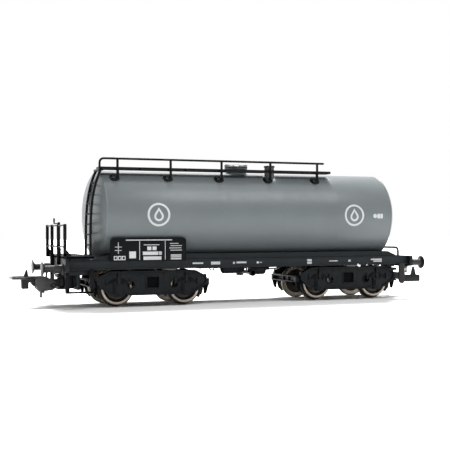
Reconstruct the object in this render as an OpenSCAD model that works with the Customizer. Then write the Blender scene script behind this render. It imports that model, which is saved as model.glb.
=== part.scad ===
// H0 (1:87) model railway tank wagon, four axles, with a brake platform.
// Frame: millimetres, X along the wagon (platform end at -X), Y across, Z up.
// Origin: floor level, midway between the buffer faces, on the centre line.

/* [Overall] */
// buffer face to buffer face
length_over_buffers = 142.5; // [120:0.5:170]
// height of the buffer centres above the floor
buffer_height = 13.1; // [12.6:0.1:14]
// distance between the two buffer centres of one end
buffer_spacing = 20.1; // [18:0.1:22]
// shift of the pair of bogies towards the plain end
bogie_shift = 2.1; // [0:0.1:4]
// distance between the bogie pivots
pivot_distance = 73.5; // [66:0.5:80]

/* [Wheels] */
// tread diameter
tread_dia = 10.8; // [9.8:0.1:11.2]
// flange height over the tread
flange_height = 0.8; // [0.6:0.05:1]
// wheel width over tread and flange
wheel_width = 2.8; // [2.4:0.1:3]
// flange thickness at its root
flange_width = 0.8; // [0.6:0.1:1]
// distance between the wheel backs
back_to_back = 14.4; // [14.0:0.1:14.6]
// axle shaft diameter
axle_dia = 2.0; // [1.6:0.1:2.4]
// journal diameter at the axle ends
journal_dia = 1.2; // [0.9:0.1:1.5]
// radial clearance of the journal in its box
journal_clearance = 0.05; // [0.03:0.01:0.1]
// distance between the two axles of a bogie
wheelbase = 23.4; // [22:0.1:25]

/* [Bogie] */
// how far a side frame reaches past its axles
side_frame_overhang = 7.3; // [6.9:0.1:8.3]
// height of the side frame top above the floor
side_frame_top = 12.0; // [11.6:0.1:12.2]
// height of the side frame bottom above the floor
side_frame_bottom = 3.9; // [3.4:0.1:4.6]
// plate thickness of a side frame
side_frame_thick = 1.3; // [1.2:0.1:1.6]
// gap between a tyre face and the side frame
tyre_gap = 0.9; // [0.5:0.1:1.2]
// pivot pin diameter
pivot_pin_dia = 2.8; // [2.4:0.1:3.4]
// radial clearance of the pivot pin
pivot_clearance = 0.05; // [0.03:0.01:0.1]
// gap between a brake shoe and the tread
shoe_gap = 0.35; // [0.25:0.05:0.6]

/* [Tank] */
// outside diameter of the barrel
tank_dia = 30.6; // [28:0.2:32]
// height of the barrel axis above the floor
tank_axis_height = 30.4; // [29.5:0.1:32]
// length of the straight barrel
tank_barrel_length = 106; // [96:1:110]
// depth of each dished head
tank_head_depth = 4; // [3:0.1:4.2]

/* [Underframe] */
// half width over the side sills
sill_half_width = 13.6; // [13.4:0.1:14.5]
// web thickness of a side sill
sill_thick = 1.0; // [0.8:0.1:1.4]
// height of the sill bottom above the floor
sill_bottom = 12.6; // [12.5:0.05:12.8]
// height of the sill top above the floor
sill_top = 15.7; // [15.2:0.1:16.2]
// height of the cradle edge over the lowest line of the tank
cradle_rise = 2.4; // [1.9:0.1:3.9]
// length of a buffer from the headstock to its face
buffer_length = 6.95; // [6:0.05:8]
// half width of the headstock
headstock_half_width = 14.9; // [14:0.1:16]
// plate thickness of the headstock
headstock_thick = 1.2; // [1:0.1:1.6]
// rod diameter of the handle at the plain end
handle_dia = 0.8; // [0.6:0.05:1]
// buffer head diameter
buffer_head_dia = 4.8; // [4.2:0.1:5.6]
// buffer shank diameter
buffer_shank_dia = 2.4; // [1.8:0.1:2.8]

/* [Platform] */
// half width of the brake platform
platform_half_width = 17; // [15:0.1:18]
// length of the brake platform
platform_length = 8.8; // [8:0.1:9.2]
// height of the deck surface above the floor
deck_top = 17.3; // [16.8:0.1:18]
// deck thickness
deck_thick = 0.95; // [0.6:0.05:1.2]
// height of the railing above the floor
railing_top = 27.5; // [24:0.1:30]
// width of the flat railing posts
railing_post = 1.0; // [0.7:0.1:1.4]
// height of the step treads above the floor
step_height = 5.9; // [4.5:0.1:8]
// lower edge of the number boards
board_bottom = 15.3; // [14.5:0.1:15.5]
// upper edge of the number boards
board_top = 23.0; // [20:0.1:23.4]

/* [Roof] */
// gap between the crown of the tank and the walkway
walkway_lift = 0; // [0:0.1:1.5]
// walkway thickness
walkway_thick = 0.9; // [0.6:0.05:1.2]
// distance of the outer walkway edge from the middle
walkway_half_width = 8.6; // [7.5:0.1:9]
// width of the walkway plank
walkway_width = 4.1; // [2.6:0.1:4.1]
// walkway end towards the platform
walkway_start = -52; // [-54:0.5:-48]
// spacing of the ladder rungs
rung_pitch = 3.4; // [2.8:0.1:4.5]
// walkway end towards the plain end
walkway_end = 33.7; // [28:0.1:40]
// height of the handrail above the walkway
handrail_rise = 2.7; // [1.4:0.1:5.4]
// handrail rod diameter
handrail_dia = 0.75; // [0.5:0.05:1]
// first handrail post
post_first = -45.9; // [-48:0.1:-43]
// spacing of the handrail posts
post_spacing = 18.45; // [17:0.05:19]
// manhole neck diameter
manhole_dia = 8.2; // [7:0.1:10]
// height of the manhole lid above the walkway
manhole_rise = 2.5; // [1.9:0.1:4.4]
// vent dome diameter
vent_dia = 4.0; // [3:0.1:5]

/* [Coupler] */
// how far the loop reaches past the buffer faces
coupler_reach = 8.45; // [7:0.05:10]
// distance of the swing pin from the coupler tip
coupler_swing_arm = 17; // [16.5:0.1:17.4]
// swing pin diameter
swing_pin_dia = 1.6; // [1.2:0.1:2]
// half width of the loop at its tip
loop_half_width = 4.9; // [4:0.1:5.5]
// loop rod diameter
loop_rod = 0.8; // [0.6:0.05:1]
// loop hinge pin diameter
loop_pin_dia = 1.0; // [0.8:0.1:1.2]
// radial clearance of the coupler pins
coupler_clearance = 0.05; // [0.03:0.01:0.1]

/* [Hidden] */
$fn = 64;
half_length = length_over_buffers/2;
face_x = half_length - buffer_length;          // outer face of a headstock
inner_x = face_x - headstock_thick;            // inner face of a headstock
xa = bogie_shift - pivot_distance/2;           // pivot of the bogie at the platform end
xb = bogie_shift + pivot_distance/2;           // pivot of the other bogie
side_frame_reach = wheelbase/2 + side_frame_overhang;
flange_r = tread_dia/2 + flange_height;
axle_z = flange_r;                             // the flanges stand on the floor
tyre_face = back_to_back/2 + wheel_width;      // outer face of a tyre
frame_y = tyre_face + tyre_gap;                // inner face of a side frame
frame_out = frame_y + side_frame_thick;
box_out = frame_out + 0.9;                     // outer face of an axle box
box_in = frame_out + 0.3;                      // end of the journal bore
tank_r = tank_dia/2;
tank_z = tank_axis_height;
cradle_top = tank_z - tank_r + cradle_rise;
walkway_top = tank_z + tank_r + walkway_lift + walkway_thick;
handrail_height = walkway_top + handrail_rise;
manhole_top = walkway_top + manhole_rise;
vent_top = walkway_top + 1.9;
bearer_z = sill_bottom;                        // underside of the body bolsters
transom_top = bearer_z - 0.1;
transom_bottom = 6.6;
deck_x = -face_x;                        // platform edge over the headstock
post_y = walkway_half_width + handrail_dia/2 + 0.3;
strap_thick = 0.8;
strap_end = post_y + 1.3;
post_foot = tank_z + sqrt(pow(tank_r+strap_thick,2)-post_y*post_y) - 0.15; // post foot, just inside the strap line
post_x = [for (i=[0:4]) post_first + i*post_spacing];
tip_x = half_length + coupler_reach;
swing_x = tip_x - coupler_swing_arm;
loop_x = tip_x - 13.7;                         // loop hinge
loop_z = 7.4;
vent_x = 10.6;
vent_y = -5.6;
black = [0.13,0.14,0.16];
grey = [0.46,0.48,0.49];
steel = [0.55,0.50,0.43];

function tank_z_at(y) = tank_z + sqrt(max(0, tank_r*tank_r - y*y));

// ---------- helpers ----------
module along_x(x0, x1) translate([x0,0,0]) rotate([90,0,90]) linear_extrude(x1-x0) children();   // 2D (y,z)
module along_y(y0, y1) translate([0,y1,0]) rotate([90,0,0]) linear_extrude(y1-y0) children();    // 2D (x,z)
module cyl_x(x0,x1,d) translate([x0,0,0]) rotate([0,90,0]) cylinder(h=x1-x0, d=d);
module cyl_y(y0,y1,d) translate([0,y0,0]) rotate([-90,0,0]) cylinder(h=y1-y0, d=d);
module box(x0,x1,y0,y1,z0,z1) translate([x0,y0,z0]) cube([x1-x0,y1-y0,z1-z0]);
module both_sides() { children(); mirror([0,1,0]) children(); }
// ---------- body ----------
// dished head: a shallow crown that turns over a rounded knuckle into the barrel
function head(t) = tank_head_depth*pow(1-pow(t,2.6),0.75);
module tank() color(grey) {
  h = tank_barrel_length/2;
  ts = [0,0.12,0.24,0.36,0.48,0.58,0.67,0.75,0.82,0.88,0.925,0.96,0.982,0.994,1];
  translate([bogie_shift,0,tank_z]) rotate([0,90,0]) rotate_extrude($fn=128)
    polygon(concat([for (t=ts) [tank_r*t, h+head(t)]], [for (i=[len(ts)-1:-1:0]) [tank_r*ts[i], -h-head(ts[i])]]));
}
module barrel_cut() translate([bogie_shift,0,tank_z]) cyl_x(-tank_barrel_length/2-tank_head_depth, tank_barrel_length/2+tank_head_depth, tank_dia);

module manhole() color(grey) difference() {
  union() {
    translate([0,0,tank_z]) cylinder(d=manhole_dia-0.8, h=manhole_top-1.2-tank_z);
    translate([0,0,manhole_top-1.9]) cylinder(d=manhole_dia, h=0.9);
    translate([0,0,manhole_top-1.0]) cylinder(d1=manhole_dia-0.9, d2=manhole_dia-3.4, h=1.0);
    for (s=[-1,1]) box(s>0?3.2:-4.2, s>0?4.2:-3.2, -0.7, 0.7, manhole_top-1.2, manhole_top-0.2);
  }
  barrel_cut();
}
module vent_dome() color(grey) difference() {
  union() {
    translate([vent_x,vent_y,tank_z]) cylinder(d=vent_dia-0.6, h=vent_top-0.5-tank_z);
    translate([vent_x,vent_y,vent_top-0.6]) cylinder(d=vent_dia, h=0.6);
  }
  barrel_cut();
}
module overflow_trays() color(grey)
  box(-7.4, 0.8, -walkway_half_width-0.25, -walkway_half_width, walkway_top-walkway_thick-0.15, walkway_top);
module walkway() color(black) difference() {
  box(walkway_start, walkway_end, -walkway_half_width, walkway_width-walkway_half_width, walkway_top-walkway_thick, walkway_top);
  translate([0,0,walkway_top-2]) cylinder(d=manhole_dia+0.6, h=4);
  box(vent_x-vent_dia/2-0.1, vent_x+vent_dia/2+0.1, 0.9-walkway_half_width, vent_y+vent_dia/2+0.3, walkway_top-2, walkway_top+1);
}
// risers under the outer walkway edge, and hooked post feet that lie on the barrel
module walkway_brackets() color(black)
  for (x=post_x) difference() {
    union() {
      box(x, x+0.8, 0.1-walkway_half_width, 0.8-walkway_half_width, tank_z+2, walkway_top-walkway_thick);
      intersection() {
        translate([0,0,tank_z]) cyl_x(x-2.5, x+0.5, tank_dia+2*strap_thick);
        union() {
          box(x-2.5, x+0.5, -strap_end, -post_y+0.1, tank_z, walkway_top);
          box(x-2.5, x-1.7, -strap_end, -post_y+1.1, tank_z, walkway_top);
        }
      }
    }
    barrel_cut();
  }
module handrail() color(black) {
  zr = handrail_height;
  y = -post_y;
  x_end = post_x[4]+2.5;
  x_bend = post_first-4.05;
  foot_z = walkway_top;
  for (x=post_x) difference() {
    translate([x,y,post_foot-0.6]) cylinder(d=handrail_dia+0.1, h=zr-post_foot+0.6);
    translate([0,0,tank_z]) cyl_x(x-1, x+1, tank_dia+2*strap_thick);
  }
  translate([0,y,zr]) cyl_x(x_bend, x_end, handrail_dia);
  // rounded bend and leg at the ladder end, foot turned in onto the walkway
  translate([x_bend,y,zr-2]) rotate([90,0,0]) rotate([0,0,90]) rotate_extrude(angle=90) translate([2,0]) circle(d=handrail_dia, $fn=32);
  translate([x_bend-2,y,foot_z-0.85]) cylinder(d=handrail_dia, h=zr-2-foot_z+0.85);
  box(x_bend-2-0.35, x_bend-2+0.35, y, -walkway_half_width+0.0, foot_z-0.8, foot_z-0.1);
}
module ladder() color(black) {
  // two flat stringers that lean against the walkway end, with round rungs
  z0 = deck_top;
  z1 = walkway_top-walkway_thick;
  for (y=[-12.2,-5.0]) along_y(y-0.3, y+0.3)
    polygon([[ladder_x(z0)-0.42,z0],[ladder_x(z0)+0.42,z0],
             for (i=[1:16]) [ladder_x(z0+(z1-z0)*i/16)+0.42, z0+(z1-z0)*i/16],
             for (i=[16:-1:1]) [ladder_x(z0+(z1-z0)*i/16)-0.42, z0+(z1-z0)*i/16]]);
  for (z=[z0+rung_pitch:rung_pitch:z1-2]) translate([ladder_x(z),0,z]) cyl_y(-12.8,-4.9,0.55);
  box(walkway_start-1, walkway_start+0.8, -12.5, -4.7, z1-0.6, z1);
}
function ladder_x(z) = let (t = (z-deck_top)/(walkway_top-walkway_thick-deck_top), foot = deck_x+platform_length-0.2, head_x = walkway_start-0.05) foot + (head_x-foot)*pow(t,3.8);

module cradle() color(black) difference() {
  along_y(-sill_half_width+0.7, sill_half_width-0.7)
    polygon([[xa-21.3,sill_top],[xb+20.3,sill_top],[xb+16.2,cradle_top],[xa-15,cradle_top]]);
  barrel_cut();
}
module side_sills() color(black) both_sides() {
  // channel section, open inwards
  box(-inner_x, inner_x, -sill_half_width, -sill_half_width+sill_thick, sill_bottom, sill_top);
  box(-inner_x, inner_x, -sill_half_width-0.2, -sill_half_width+lip, sill_bottom, sill_bottom+0.45);
  box(-inner_x, inner_x, -sill_half_width-0.2, -sill_half_width+lip, sill_top-0.45, sill_top);
}
sill_in = sill_half_width - sill_thick;         // inner face of a sill web
lip = 2.2;                                      // depth of the sill flanges
centre_half = 2.1;                              // half width of the centre sill
centre_bottom = sill_bottom + 0.3;              // underside of the centre sill
draft_top = 10.9;                               // top of the coupler pockets
module centre_sill() color(black) {
  difference() { box(-inner_x, inner_x, -centre_half, centre_half, centre_bottom, sill_top); barrel_cut(); }
  for (x=[xa,xb]) box(x-3.2, x+3.2, -centre_half, centre_half, bearer_z, centre_bottom+0.5);
}
module bolsters() color(black) both_sides() for (x=[xa,xb]) box(x-3.2, x+3.2, -sill_half_width+lip, -centre_half, bearer_z, sill_top-0.45);
module cross_members() color(black) both_sides() for (x=[xa+18, 11.6, xb-18, 58.5]) box(x-0.6, x+0.6, -sill_in, -centre_half, centre_bottom+0.2, sill_top-0.45);
module headstock(y_half) along_x(-headstock_thick, 0) {
  translate([-y_half, sill_bottom-0.6]) square([2*y_half, sill_top-sill_bottom+0.6]);
  for (s=[-1,1]) translate([s*buffer_spacing/2, buffer_height]) circle(r=2.15);
}
module headstock_a() color(black) union() {
  translate([-face_x,0,0]) mirror([1,0,0]) headstock(headstock_half_width);
  box(-face_x, -inner_x, -headstock_half_width, headstock_half_width, sill_top-0.2, deck_top-deck_thick);
  // coupler plate behind the headstock, up to the sills
  box(-inner_x-0.1, -inner_x+7.4, -sill_in+0.4, sill_in-0.4, draft_top, bearer_z);
  box(-inner_x-0.1, -inner_x+7.4, -centre_half, centre_half, bearer_z-0.1, centre_bottom);
}
module headstock_b() color(black) translate([face_x,0,0]) headstock(headstock_half_width);
module buffer() {
  cyl_x(0, buffer_length-0.5, buffer_shank_dia);
  translate([buffer_length-1.0,0,0]) rotate([0,90,0]) cylinder(d1=buffer_shank_dia, d2=buffer_head_dia, h=0.55);
  translate([buffer_length-0.45,0,0]) rotate([0,90,0]) cylinder(d1=buffer_head_dia, d2=buffer_head_dia-0.5, h=0.45);
}
module buffers_b() color(black) for (s=[-1,1]) translate([face_x,s*buffer_spacing/2,buffer_height]) buffer();
module buffers_a() color(black) mirror([1,0,0]) for (s=[-1,1]) translate([face_x,s*buffer_spacing/2,buffer_height]) buffer();
module pivot_pins() color(black) for (x=[xa,xb]) translate([x,0,0]) {
  translate([0,0,5.6]) cylinder(d=pivot_pin_dia+1.6, h=0.8);
  translate([0,0,5.6]) cylinder(d=pivot_pin_dia, h=bearer_z-5.6);
}

// ---------- brake platform ----------
module platform_deck() color(black) {
    box(deck_x, deck_x+platform_length, -platform_half_width, platform_half_width, deck_top-deck_thick, deck_top);
    for (s=[-1,1], y=[s*(sill_half_width-0.5), s*4.5]) box(-inner_x+0.6, deck_x+platform_length-0.6, y-0.45, y+0.45, sill_top, deck_top-deck_thick+0.1);
}
module platform_railing() color(black) {
  px = -face_x;
  ys = [-platform_half_width+0.35,-5.0,7.0,platform_half_width-0.35];
  for (y=ys) box(px-railing_post, px, y-0.3, y+0.3, (abs(y)>15?deck_top-deck_thick:sill_bottom+1.2), railing_top);
  for (y=ys) if (abs(y)>15) box(px-railing_post, px+0.6, y-0.3, y+0.3, deck_top, deck_top+0.9);
  // top and middle rails
  translate([px-railing_post/2,0,railing_top-0.4]) cyl_y(ys[0], ys[3], 0.5);
  translate([px-railing_post/2,0,20.2]) cyl_y(ys[0], ys[3], 0.5);
  // gusset plates towards the deck
  for (y=[ys[0],ys[3]]) along_y(y-0.3,y+0.3) polygon([[px-0.01,deck_top],[px+1.8,deck_top],[px-0.01,deck_top+1.9]]);
}
module handbrake() color(black) {
  hx = -face_x+0.75;
  hy = 1.0;
  translate([hx,hy,deck_top]) cylinder(d=2.0, h=2.3);
  translate([hx,hy,deck_top]) cylinder(d=0.9, h=railing_top+0.9-deck_top);
  // crank on top
  box(hx-1.9, hx+0.3, hy-0.3, hy+0.3, railing_top+0.3, railing_top+0.85);
  translate([hx-1.6,hy,railing_top+0.4]) cylinder(d=0.6, h=1.7);
}
module step_set(x0,x1) {
  box(x0, x0+1.4, -sill_half_width-0.75, -sill_half_width-0.2, step_height, sill_bottom-0.6);   // hangs from the headstock
  box(x1-1.4, x1, -sill_half_width-0.75, -sill_half_width-0.2, step_height, sill_bottom+0.4);
  box(x0, x1, -sill_half_width-2.2, -sill_half_width-0.2, step_height-0.6, step_height);
}
module platform_steps() color(black) both_sides() step_set(-face_x, deck_x+platform_length+0.6);
module corner_steps() color([0.20,0.19,0.19]) both_sides() {
  along_y(-sill_half_width-0.9, -sill_half_width-0.2) difference() {
    union() { translate([face_x-5.5,6.75]) square([2.4,sill_bottom-6.75+0.4]); translate([face_x-4.3,6.75]) circle(d=2.4); }
  }
}
module end_handle() color(black) translate([face_x-1.9,0,0]) {
  for (s=[-1,1]) translate([0,s*7.8,sill_top-0.8]) cylinder(d=handle_dia, h=1.6);
  for (s=[-1,1]) box(0, 1.9-headstock_thick, s*7.8-0.3, s*7.8+0.3, sill_top-0.8, sill_top-0.2);   // lug on the headstock
  for (s=[-1,1]) translate([0,s*5.6,sill_top+0.8]) rotate([0,-90,0]) mirror([0,s>0?0:1,0])
     rotate_extrude(angle=90) translate([2.2,0]) circle(d=handle_dia,$fn=32);
  translate([0,0,sill_top+3.0]) cyl_y(-5.6,5.6,handle_dia);
}
module hose() { // points towards -X
  translate([0,0,11.7]) { translate([-2.6,0,0]) cyl_x(0,2.6,0.75); translate([-2.6,0,0]) sphere(d=0.75,$fn=24); translate([-2.6,0,-2.6]) cylinder(d=0.75,h=2.6); }
}
module air_hoses_a() color(black) for (s=[-1,1]) translate([-face_x,s*6.2,0]) hose();
module air_hoses_b() color(black) for (s=[-1,1]) translate([face_x,s*6.2,0]) mirror([1,0,0]) hose();
module number_boards() color(black) both_sides() {
  x0 = xa-15.0; x1 = xa+10.9; r = 1.2; y0 = -sill_half_width-1.0; y1 = y0+0.5;
  box(x0, x1, y0, y1, board_bottom, board_top-r);
  box(x0+r, x1-r, y0, y1, board_top-r, board_top);
  for (x=[x0+r,x1-r]) translate([x,0,board_top-r]) cyl_y(y0, y1, 2*r);
  for (x=[x0+4,x1-4]) box(x-0.6, x+0.6, y1, -sill_half_width-0.2, board_bottom, sill_top);
}

// ---------- equipment under the frame ----------
module brake_cylinder() color(black) translate([5.4,-7.2,sill_bottom-0.9]) {
  cyl_x(-2.8,2.6,4.0);
  cyl_x(-3.2,-2.8,4.6);
  cyl_x(2.6,4.2,1.0);
  box(-1.4,1.4,-0.9,0.9,1.2,1.9);
  for (x=[-1.4,0.9]) box(x,x+0.5,-sill_in+7.2,-0.9,1.4,1.9);
}
module air_reservoir() color(black) translate([-4.3,-7.2,sill_bottom-0.65]) {
  cyl_x(-4.5,4.3,3.5);
  for (x=[-2.6,2.1]) box(x,x+0.5,-sill_in+7.2,0,1.15,1.65);
}
module outlet_valve() color(black) {
  translate([1.3,0,sill_bottom-3.4]) cylinder(d=2.6, h=centre_bottom-sill_bottom+3.4);
  translate([1.3,0,sill_bottom-2]) cyl_y(-sill_in,sill_in,1.5);
  both_sides() translate([1.3,-sill_in,sill_bottom-2]) cyl_y(0,0.9,2.4);
}

// ---------- coupler pockets ----------
module draft_box(dir) mirror([dir<0?1:0,0,0]) {
  x0 = swing_x-2.0; x1 = face_x+0.4;
  box(x0, x1, -3.3, 3.3, 9.95, draft_top);
  if (dir>0) box(x0, inner_x, -centre_half, centre_half, draft_top, centre_bottom);
  box(x0, x1, -3.3, 3.3, 6.0, 6.55);
  box(x0, x0+0.4, -3.3, 3.3, 6.0, 10.4);
  if (dir<0) { box(x0-1.7, x0-0.9, -12, 12, 6.2, draft_top); box(x0-1.2, x0+0.2, -3.3, 3.3, 6.2, draft_top); }   // cross plate behind the pocket
  translate([swing_x,0,6.0]) cylinder(d=swing_pin_dia, h=4.5);
}
module draft_box_a() color(black) draft_box(-1);
module draft_box_b() color(black) draft_box(1);

// ---------- couplers (drawn at the +X end) ----------
module coupler_hook() {
  z0 = 6.75; z1 = 9.75;
  difference() {
    union() {
      translate([swing_x,0,z0]) cylinder(d=3.0, h=z1-z0);
      box(swing_x, loop_x-1.6, -1.1, 1.1, z0, z1);
      along_y(-1.3,1.3) polygon([[loop_x-2.4,6.9],[loop_x-1.0,6.9],[loop_x-0.8,6.1],[loop_x+4.4,6.1],[loop_x+6.6,7.4],[loop_x+7.2,8.4],
        [loop_x+7.9,8.4],[loop_x+7.9,6.3],[loop_x+10.1,6.3],[loop_x+10.3,10.0],[loop_x+2.2,10.0],[loop_x+1.6,9.3],[loop_x-2.4,9.3]]);
      along_y(-0.5,0.5) polygon([[loop_x+7.8,9.9],[loop_x+9.6,9.9],[loop_x+8.6,12.6],[loop_x+8.2,12.6]]);
      translate([loop_x,0,loop_z]) cyl_y(-2.7,2.7,loop_pin_dia);
    }
    translate([swing_x,0,z0-1]) cylinder(d=swing_pin_dia+2*coupler_clearance, h=z1-z0+2);
  }
}
module coupler_loop() {
  zt = 9.95;
  for (s=[-1,1]) {
    // cheek that carries the bow, hung on the hinge pin
    along_y(s*2.1-0.35, s*2.1+0.35) difference() {
      polygon([[loop_x-0.9,loop_z+0.6],[loop_x-0.9,loop_z-0.5],[loop_x,loop_z-1.6],[loop_x+4.3,5.3],[loop_x+5.4,6.3],[loop_x+5.9,7.9],
        [loop_x+6.0,zt-0.5],[loop_x+6.0,zt+0.4],[loop_x+2.6,zt+0.4],[loop_x-0.4,loop_z+1.5]]);
      translate([loop_x,loop_z]) circle(d=loop_pin_dia+2*coupler_clearance);
    }
    // spread arm to the tip
    translate([0,0,zt-0.4]) linear_extrude(0.8) polygon([[loop_x+5.4,s*1.75],[loop_x+5.4,s*2.45],[loop_x+9.4,s*(loop_half_width)],[tip_x-loop_rod,s*loop_half_width],[tip_x-loop_rod,s*(loop_half_width-loop_rod)],[loop_x+9.8,s*(loop_half_width-loop_rod)]]);
  }
  box(tip_x-loop_rod, tip_x, -loop_half_width, loop_half_width, zt-0.4, zt+0.4);
  // cross plate under the hook with the trip pin
  box(loop_x+2.8, loop_x+4.3, -2.45, 2.45, 4.9, 5.4);
  translate([loop_x+3.7,0,3.2]) cylinder(d=0.8, h=2.0);
}
// the plain end has a bare hook that droops a little
module plain_hook() {
  z0 = 6.75; z1 = 9.75;
  difference() {
    union() {
      translate([swing_x,0,z0]) cylinder(d=3.0, h=z1-z0);
      box(swing_x, loop_x-1.6, -1.1, 1.1, z0, z1);
      along_y(-1.3,1.3) polygon([[loop_x-2.4,6.9],[loop_x+1.2,6.3],[loop_x+3.8,5.3],[loop_x+10.2,5.3],[loop_x+10.2,7.9],[loop_x+3.4,7.9],[loop_x+1.2,9.0],[loop_x-2.4,9.3]]);
      along_y(-0.5,0.5) polygon([[loop_x+7.0,7.8],[loop_x+9.0,7.8],[loop_x+8.3,10.9],[loop_x+7.8,10.9]]);
    }
    translate([swing_x,0,z0-1]) cylinder(d=swing_pin_dia+2*coupler_clearance, h=z1-z0+2);
  }
}
module coupler_b_hook() color([0.16,0.17,0.18]) plain_hook();
module coupler_a_hook() color([0.16,0.17,0.18]) mirror([1,0,0]) coupler_hook();
module coupler_a_loop() color([0.12,0.12,0.13]) mirror([1,0,0]) coupler_loop();

// ---------- bogies ----------
module side_frame_2d() {
  t = side_frame_top; b = side_frame_bottom; r = side_frame_reach; w = wheelbase/2;
  polygon([[-w-3.3,t],[w+3.3,t],[r,t-2.2],[r,b+3.5],[w+3.1,b+0.5],[w-2.5,b+0.5],[w-3.9,b],[-w+3.9,b],[-w+2.5,b+0.5],[-w-3.1,b+0.5],[-r,b+3.5],[-r,t-2.2]]);
}
module bogie_frame() {
  y0 = frame_y; w = wheelbase/2;
  difference() {
    union() {
      both_sides() {
        along_y(-frame_out, -y0) side_frame_2d();
        // pressed lips along the top and the bottom
        box(-w-3.3, w+3.3, -frame_out-0.35, -frame_out, side_frame_top-0.4, side_frame_top);
        box(-w+3.9, w-3.9, -frame_out-0.35, -frame_out, side_frame_bottom, side_frame_bottom+0.4);
        for (s=[-1,1]) {
          // axle box with its rib
          box(s*w-1.35, s*w+1.35, -box_out, -frame_out, axle_z-2.6, axle_z+1.5);
          box(s*w-0.3, s*w+0.3, -frame_out-0.45, -frame_out, axle_z+1.5, side_frame_top-0.4);
          box(s*w-1.35, s*w+1.35, -frame_out, -frame_y, axle_z-2.6, axle_z);
        }
      }
      box(-4.0, 4.0, -y0, y0, transom_bottom, transom_top-0.7);
      translate([0,0,transom_top-0.7]) cylinder(d=9, h=0.7);
    }
    translate([0,0,transom_bottom-1]) cylinder(d=pivot_pin_dia+2*pivot_clearance, h=10);
    both_sides() {
      box(-2.05, 2.05, -frame_out-1, -y0-0.6, 6.3, 9.9);
      for (s=[-1,1]) translate([s*(w-4.3),0,7.4]) cyl_y(-frame_out-1, -y0+0.1, 2.4);
    }
    for (s=[-1,1]) translate([s*w,0,axle_z]) cyl_y(-box_in, box_in, journal_dia+2*journal_clearance);
  }
}
module bogie_brakes() {
  for (s=[-1,1]) mirror([s<0?1:0,0,0]) {
    box(side_frame_reach-0.6, side_frame_reach+1.4, -frame_y, frame_y, 6.7, 9.0);
    both_sides() translate([wheelbase/2,0,axle_z]) difference() {
      union() {
        along_y(-9.7,-8.3) intersection() {
          difference() { circle(r=tread_dia/2+shoe_gap+1.2); circle(r=tread_dia/2+shoe_gap); }
          polygon([[0,0],[9,-6.5],[9,0.9]]);
        }
        box(tread_dia/2+shoe_gap+0.25, side_frame_reach+1.2-wheelbase/2-0.1, -9.4, -8.6, -0.6, 1.2);
      }
      cyl_y(-12,-6,tread_dia+2*shoe_gap);
    }
  }
}
module bogie_a_frame() color(black) translate([xa,0,0]) bogie_frame();
module bogie_b_frame() color(black) translate([xb,0,0]) bogie_frame();
module bogie_a_brakes() color([0.16,0.15,0.15]) translate([xa,0,0]) bogie_brakes();
module bogie_b_brakes() color([0.16,0.15,0.15]) translate([xb,0,0]) bogie_brakes();

// ---------- wheelsets ----------
module axle() color(steel) {
  cyl_y(-tyre_face, tyre_face, axle_dia);
  cyl_y(-box_in+0.1, box_in-0.1, journal_dia);
}
module wheel_pair() color(steel) both_sides()
  translate([0,-back_to_back/2,0]) rotate([90,0,0]) rotate_extrude($fn=96)
    polygon([[axle_dia/2,0.3],[1.9,0.3],[2.1,0.9],[4.3,0.9],[4.5,0],[flange_r-0.35,0],[flange_r,0.3],[flange_r,flange_width-0.25],
      [tread_dia/2+0.15,flange_width],[tread_dia/2,flange_width+0.25],[tread_dia/2-0.05,wheel_width-0.2],[tread_dia/2-0.25,wheel_width],
      [4.4,wheel_width],[4.2,wheel_width-0.7],[2.3,wheel_width-0.9],[1.8,wheel_width],[axle_dia/2,wheel_width]]);
module at_axle(n) translate([(n<3?xa:xb)+((n==1||n==3)?-1:1)*wheelbase/2,0,axle_z]) children();
module axle_1() at_axle(1) axle();
module axle_2() at_axle(2) axle();
module axle_3() at_axle(3) axle();
module axle_4() at_axle(4) axle();
module wheels_1() at_axle(1) wheel_pair();
module wheels_2() at_axle(2) wheel_pair();
module wheels_3() at_axle(3) wheel_pair();
module wheels_4() at_axle(4) wheel_pair();

tank();
manhole();
vent_dome();
overflow_trays();
walkway();
walkway_brackets();
handrail();
ladder();
cradle();
side_sills();
centre_sill();
bolsters();
cross_members();
headstock_a();
headstock_b();
buffers_a();
buffers_b();
pivot_pins();
platform_deck();
platform_railing();
handbrake();
platform_steps();
corner_steps();
end_handle();
air_hoses_a();
air_hoses_b();
number_boards();
brake_cylinder();
air_reservoir();
outlet_valve();
draft_box_a();
draft_box_b();
bogie_a_frame();
bogie_a_brakes();
bogie_b_frame();
bogie_b_brakes();
axle_1();
wheels_1();
axle_2();
wheels_2();
axle_3();
wheels_3();
axle_4();
wheels_4();
coupler_a_hook();
coupler_a_loop();
coupler_b_hook();
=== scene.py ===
import math
import bpy
import bmesh
from mathutils import Vector, Matrix


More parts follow.
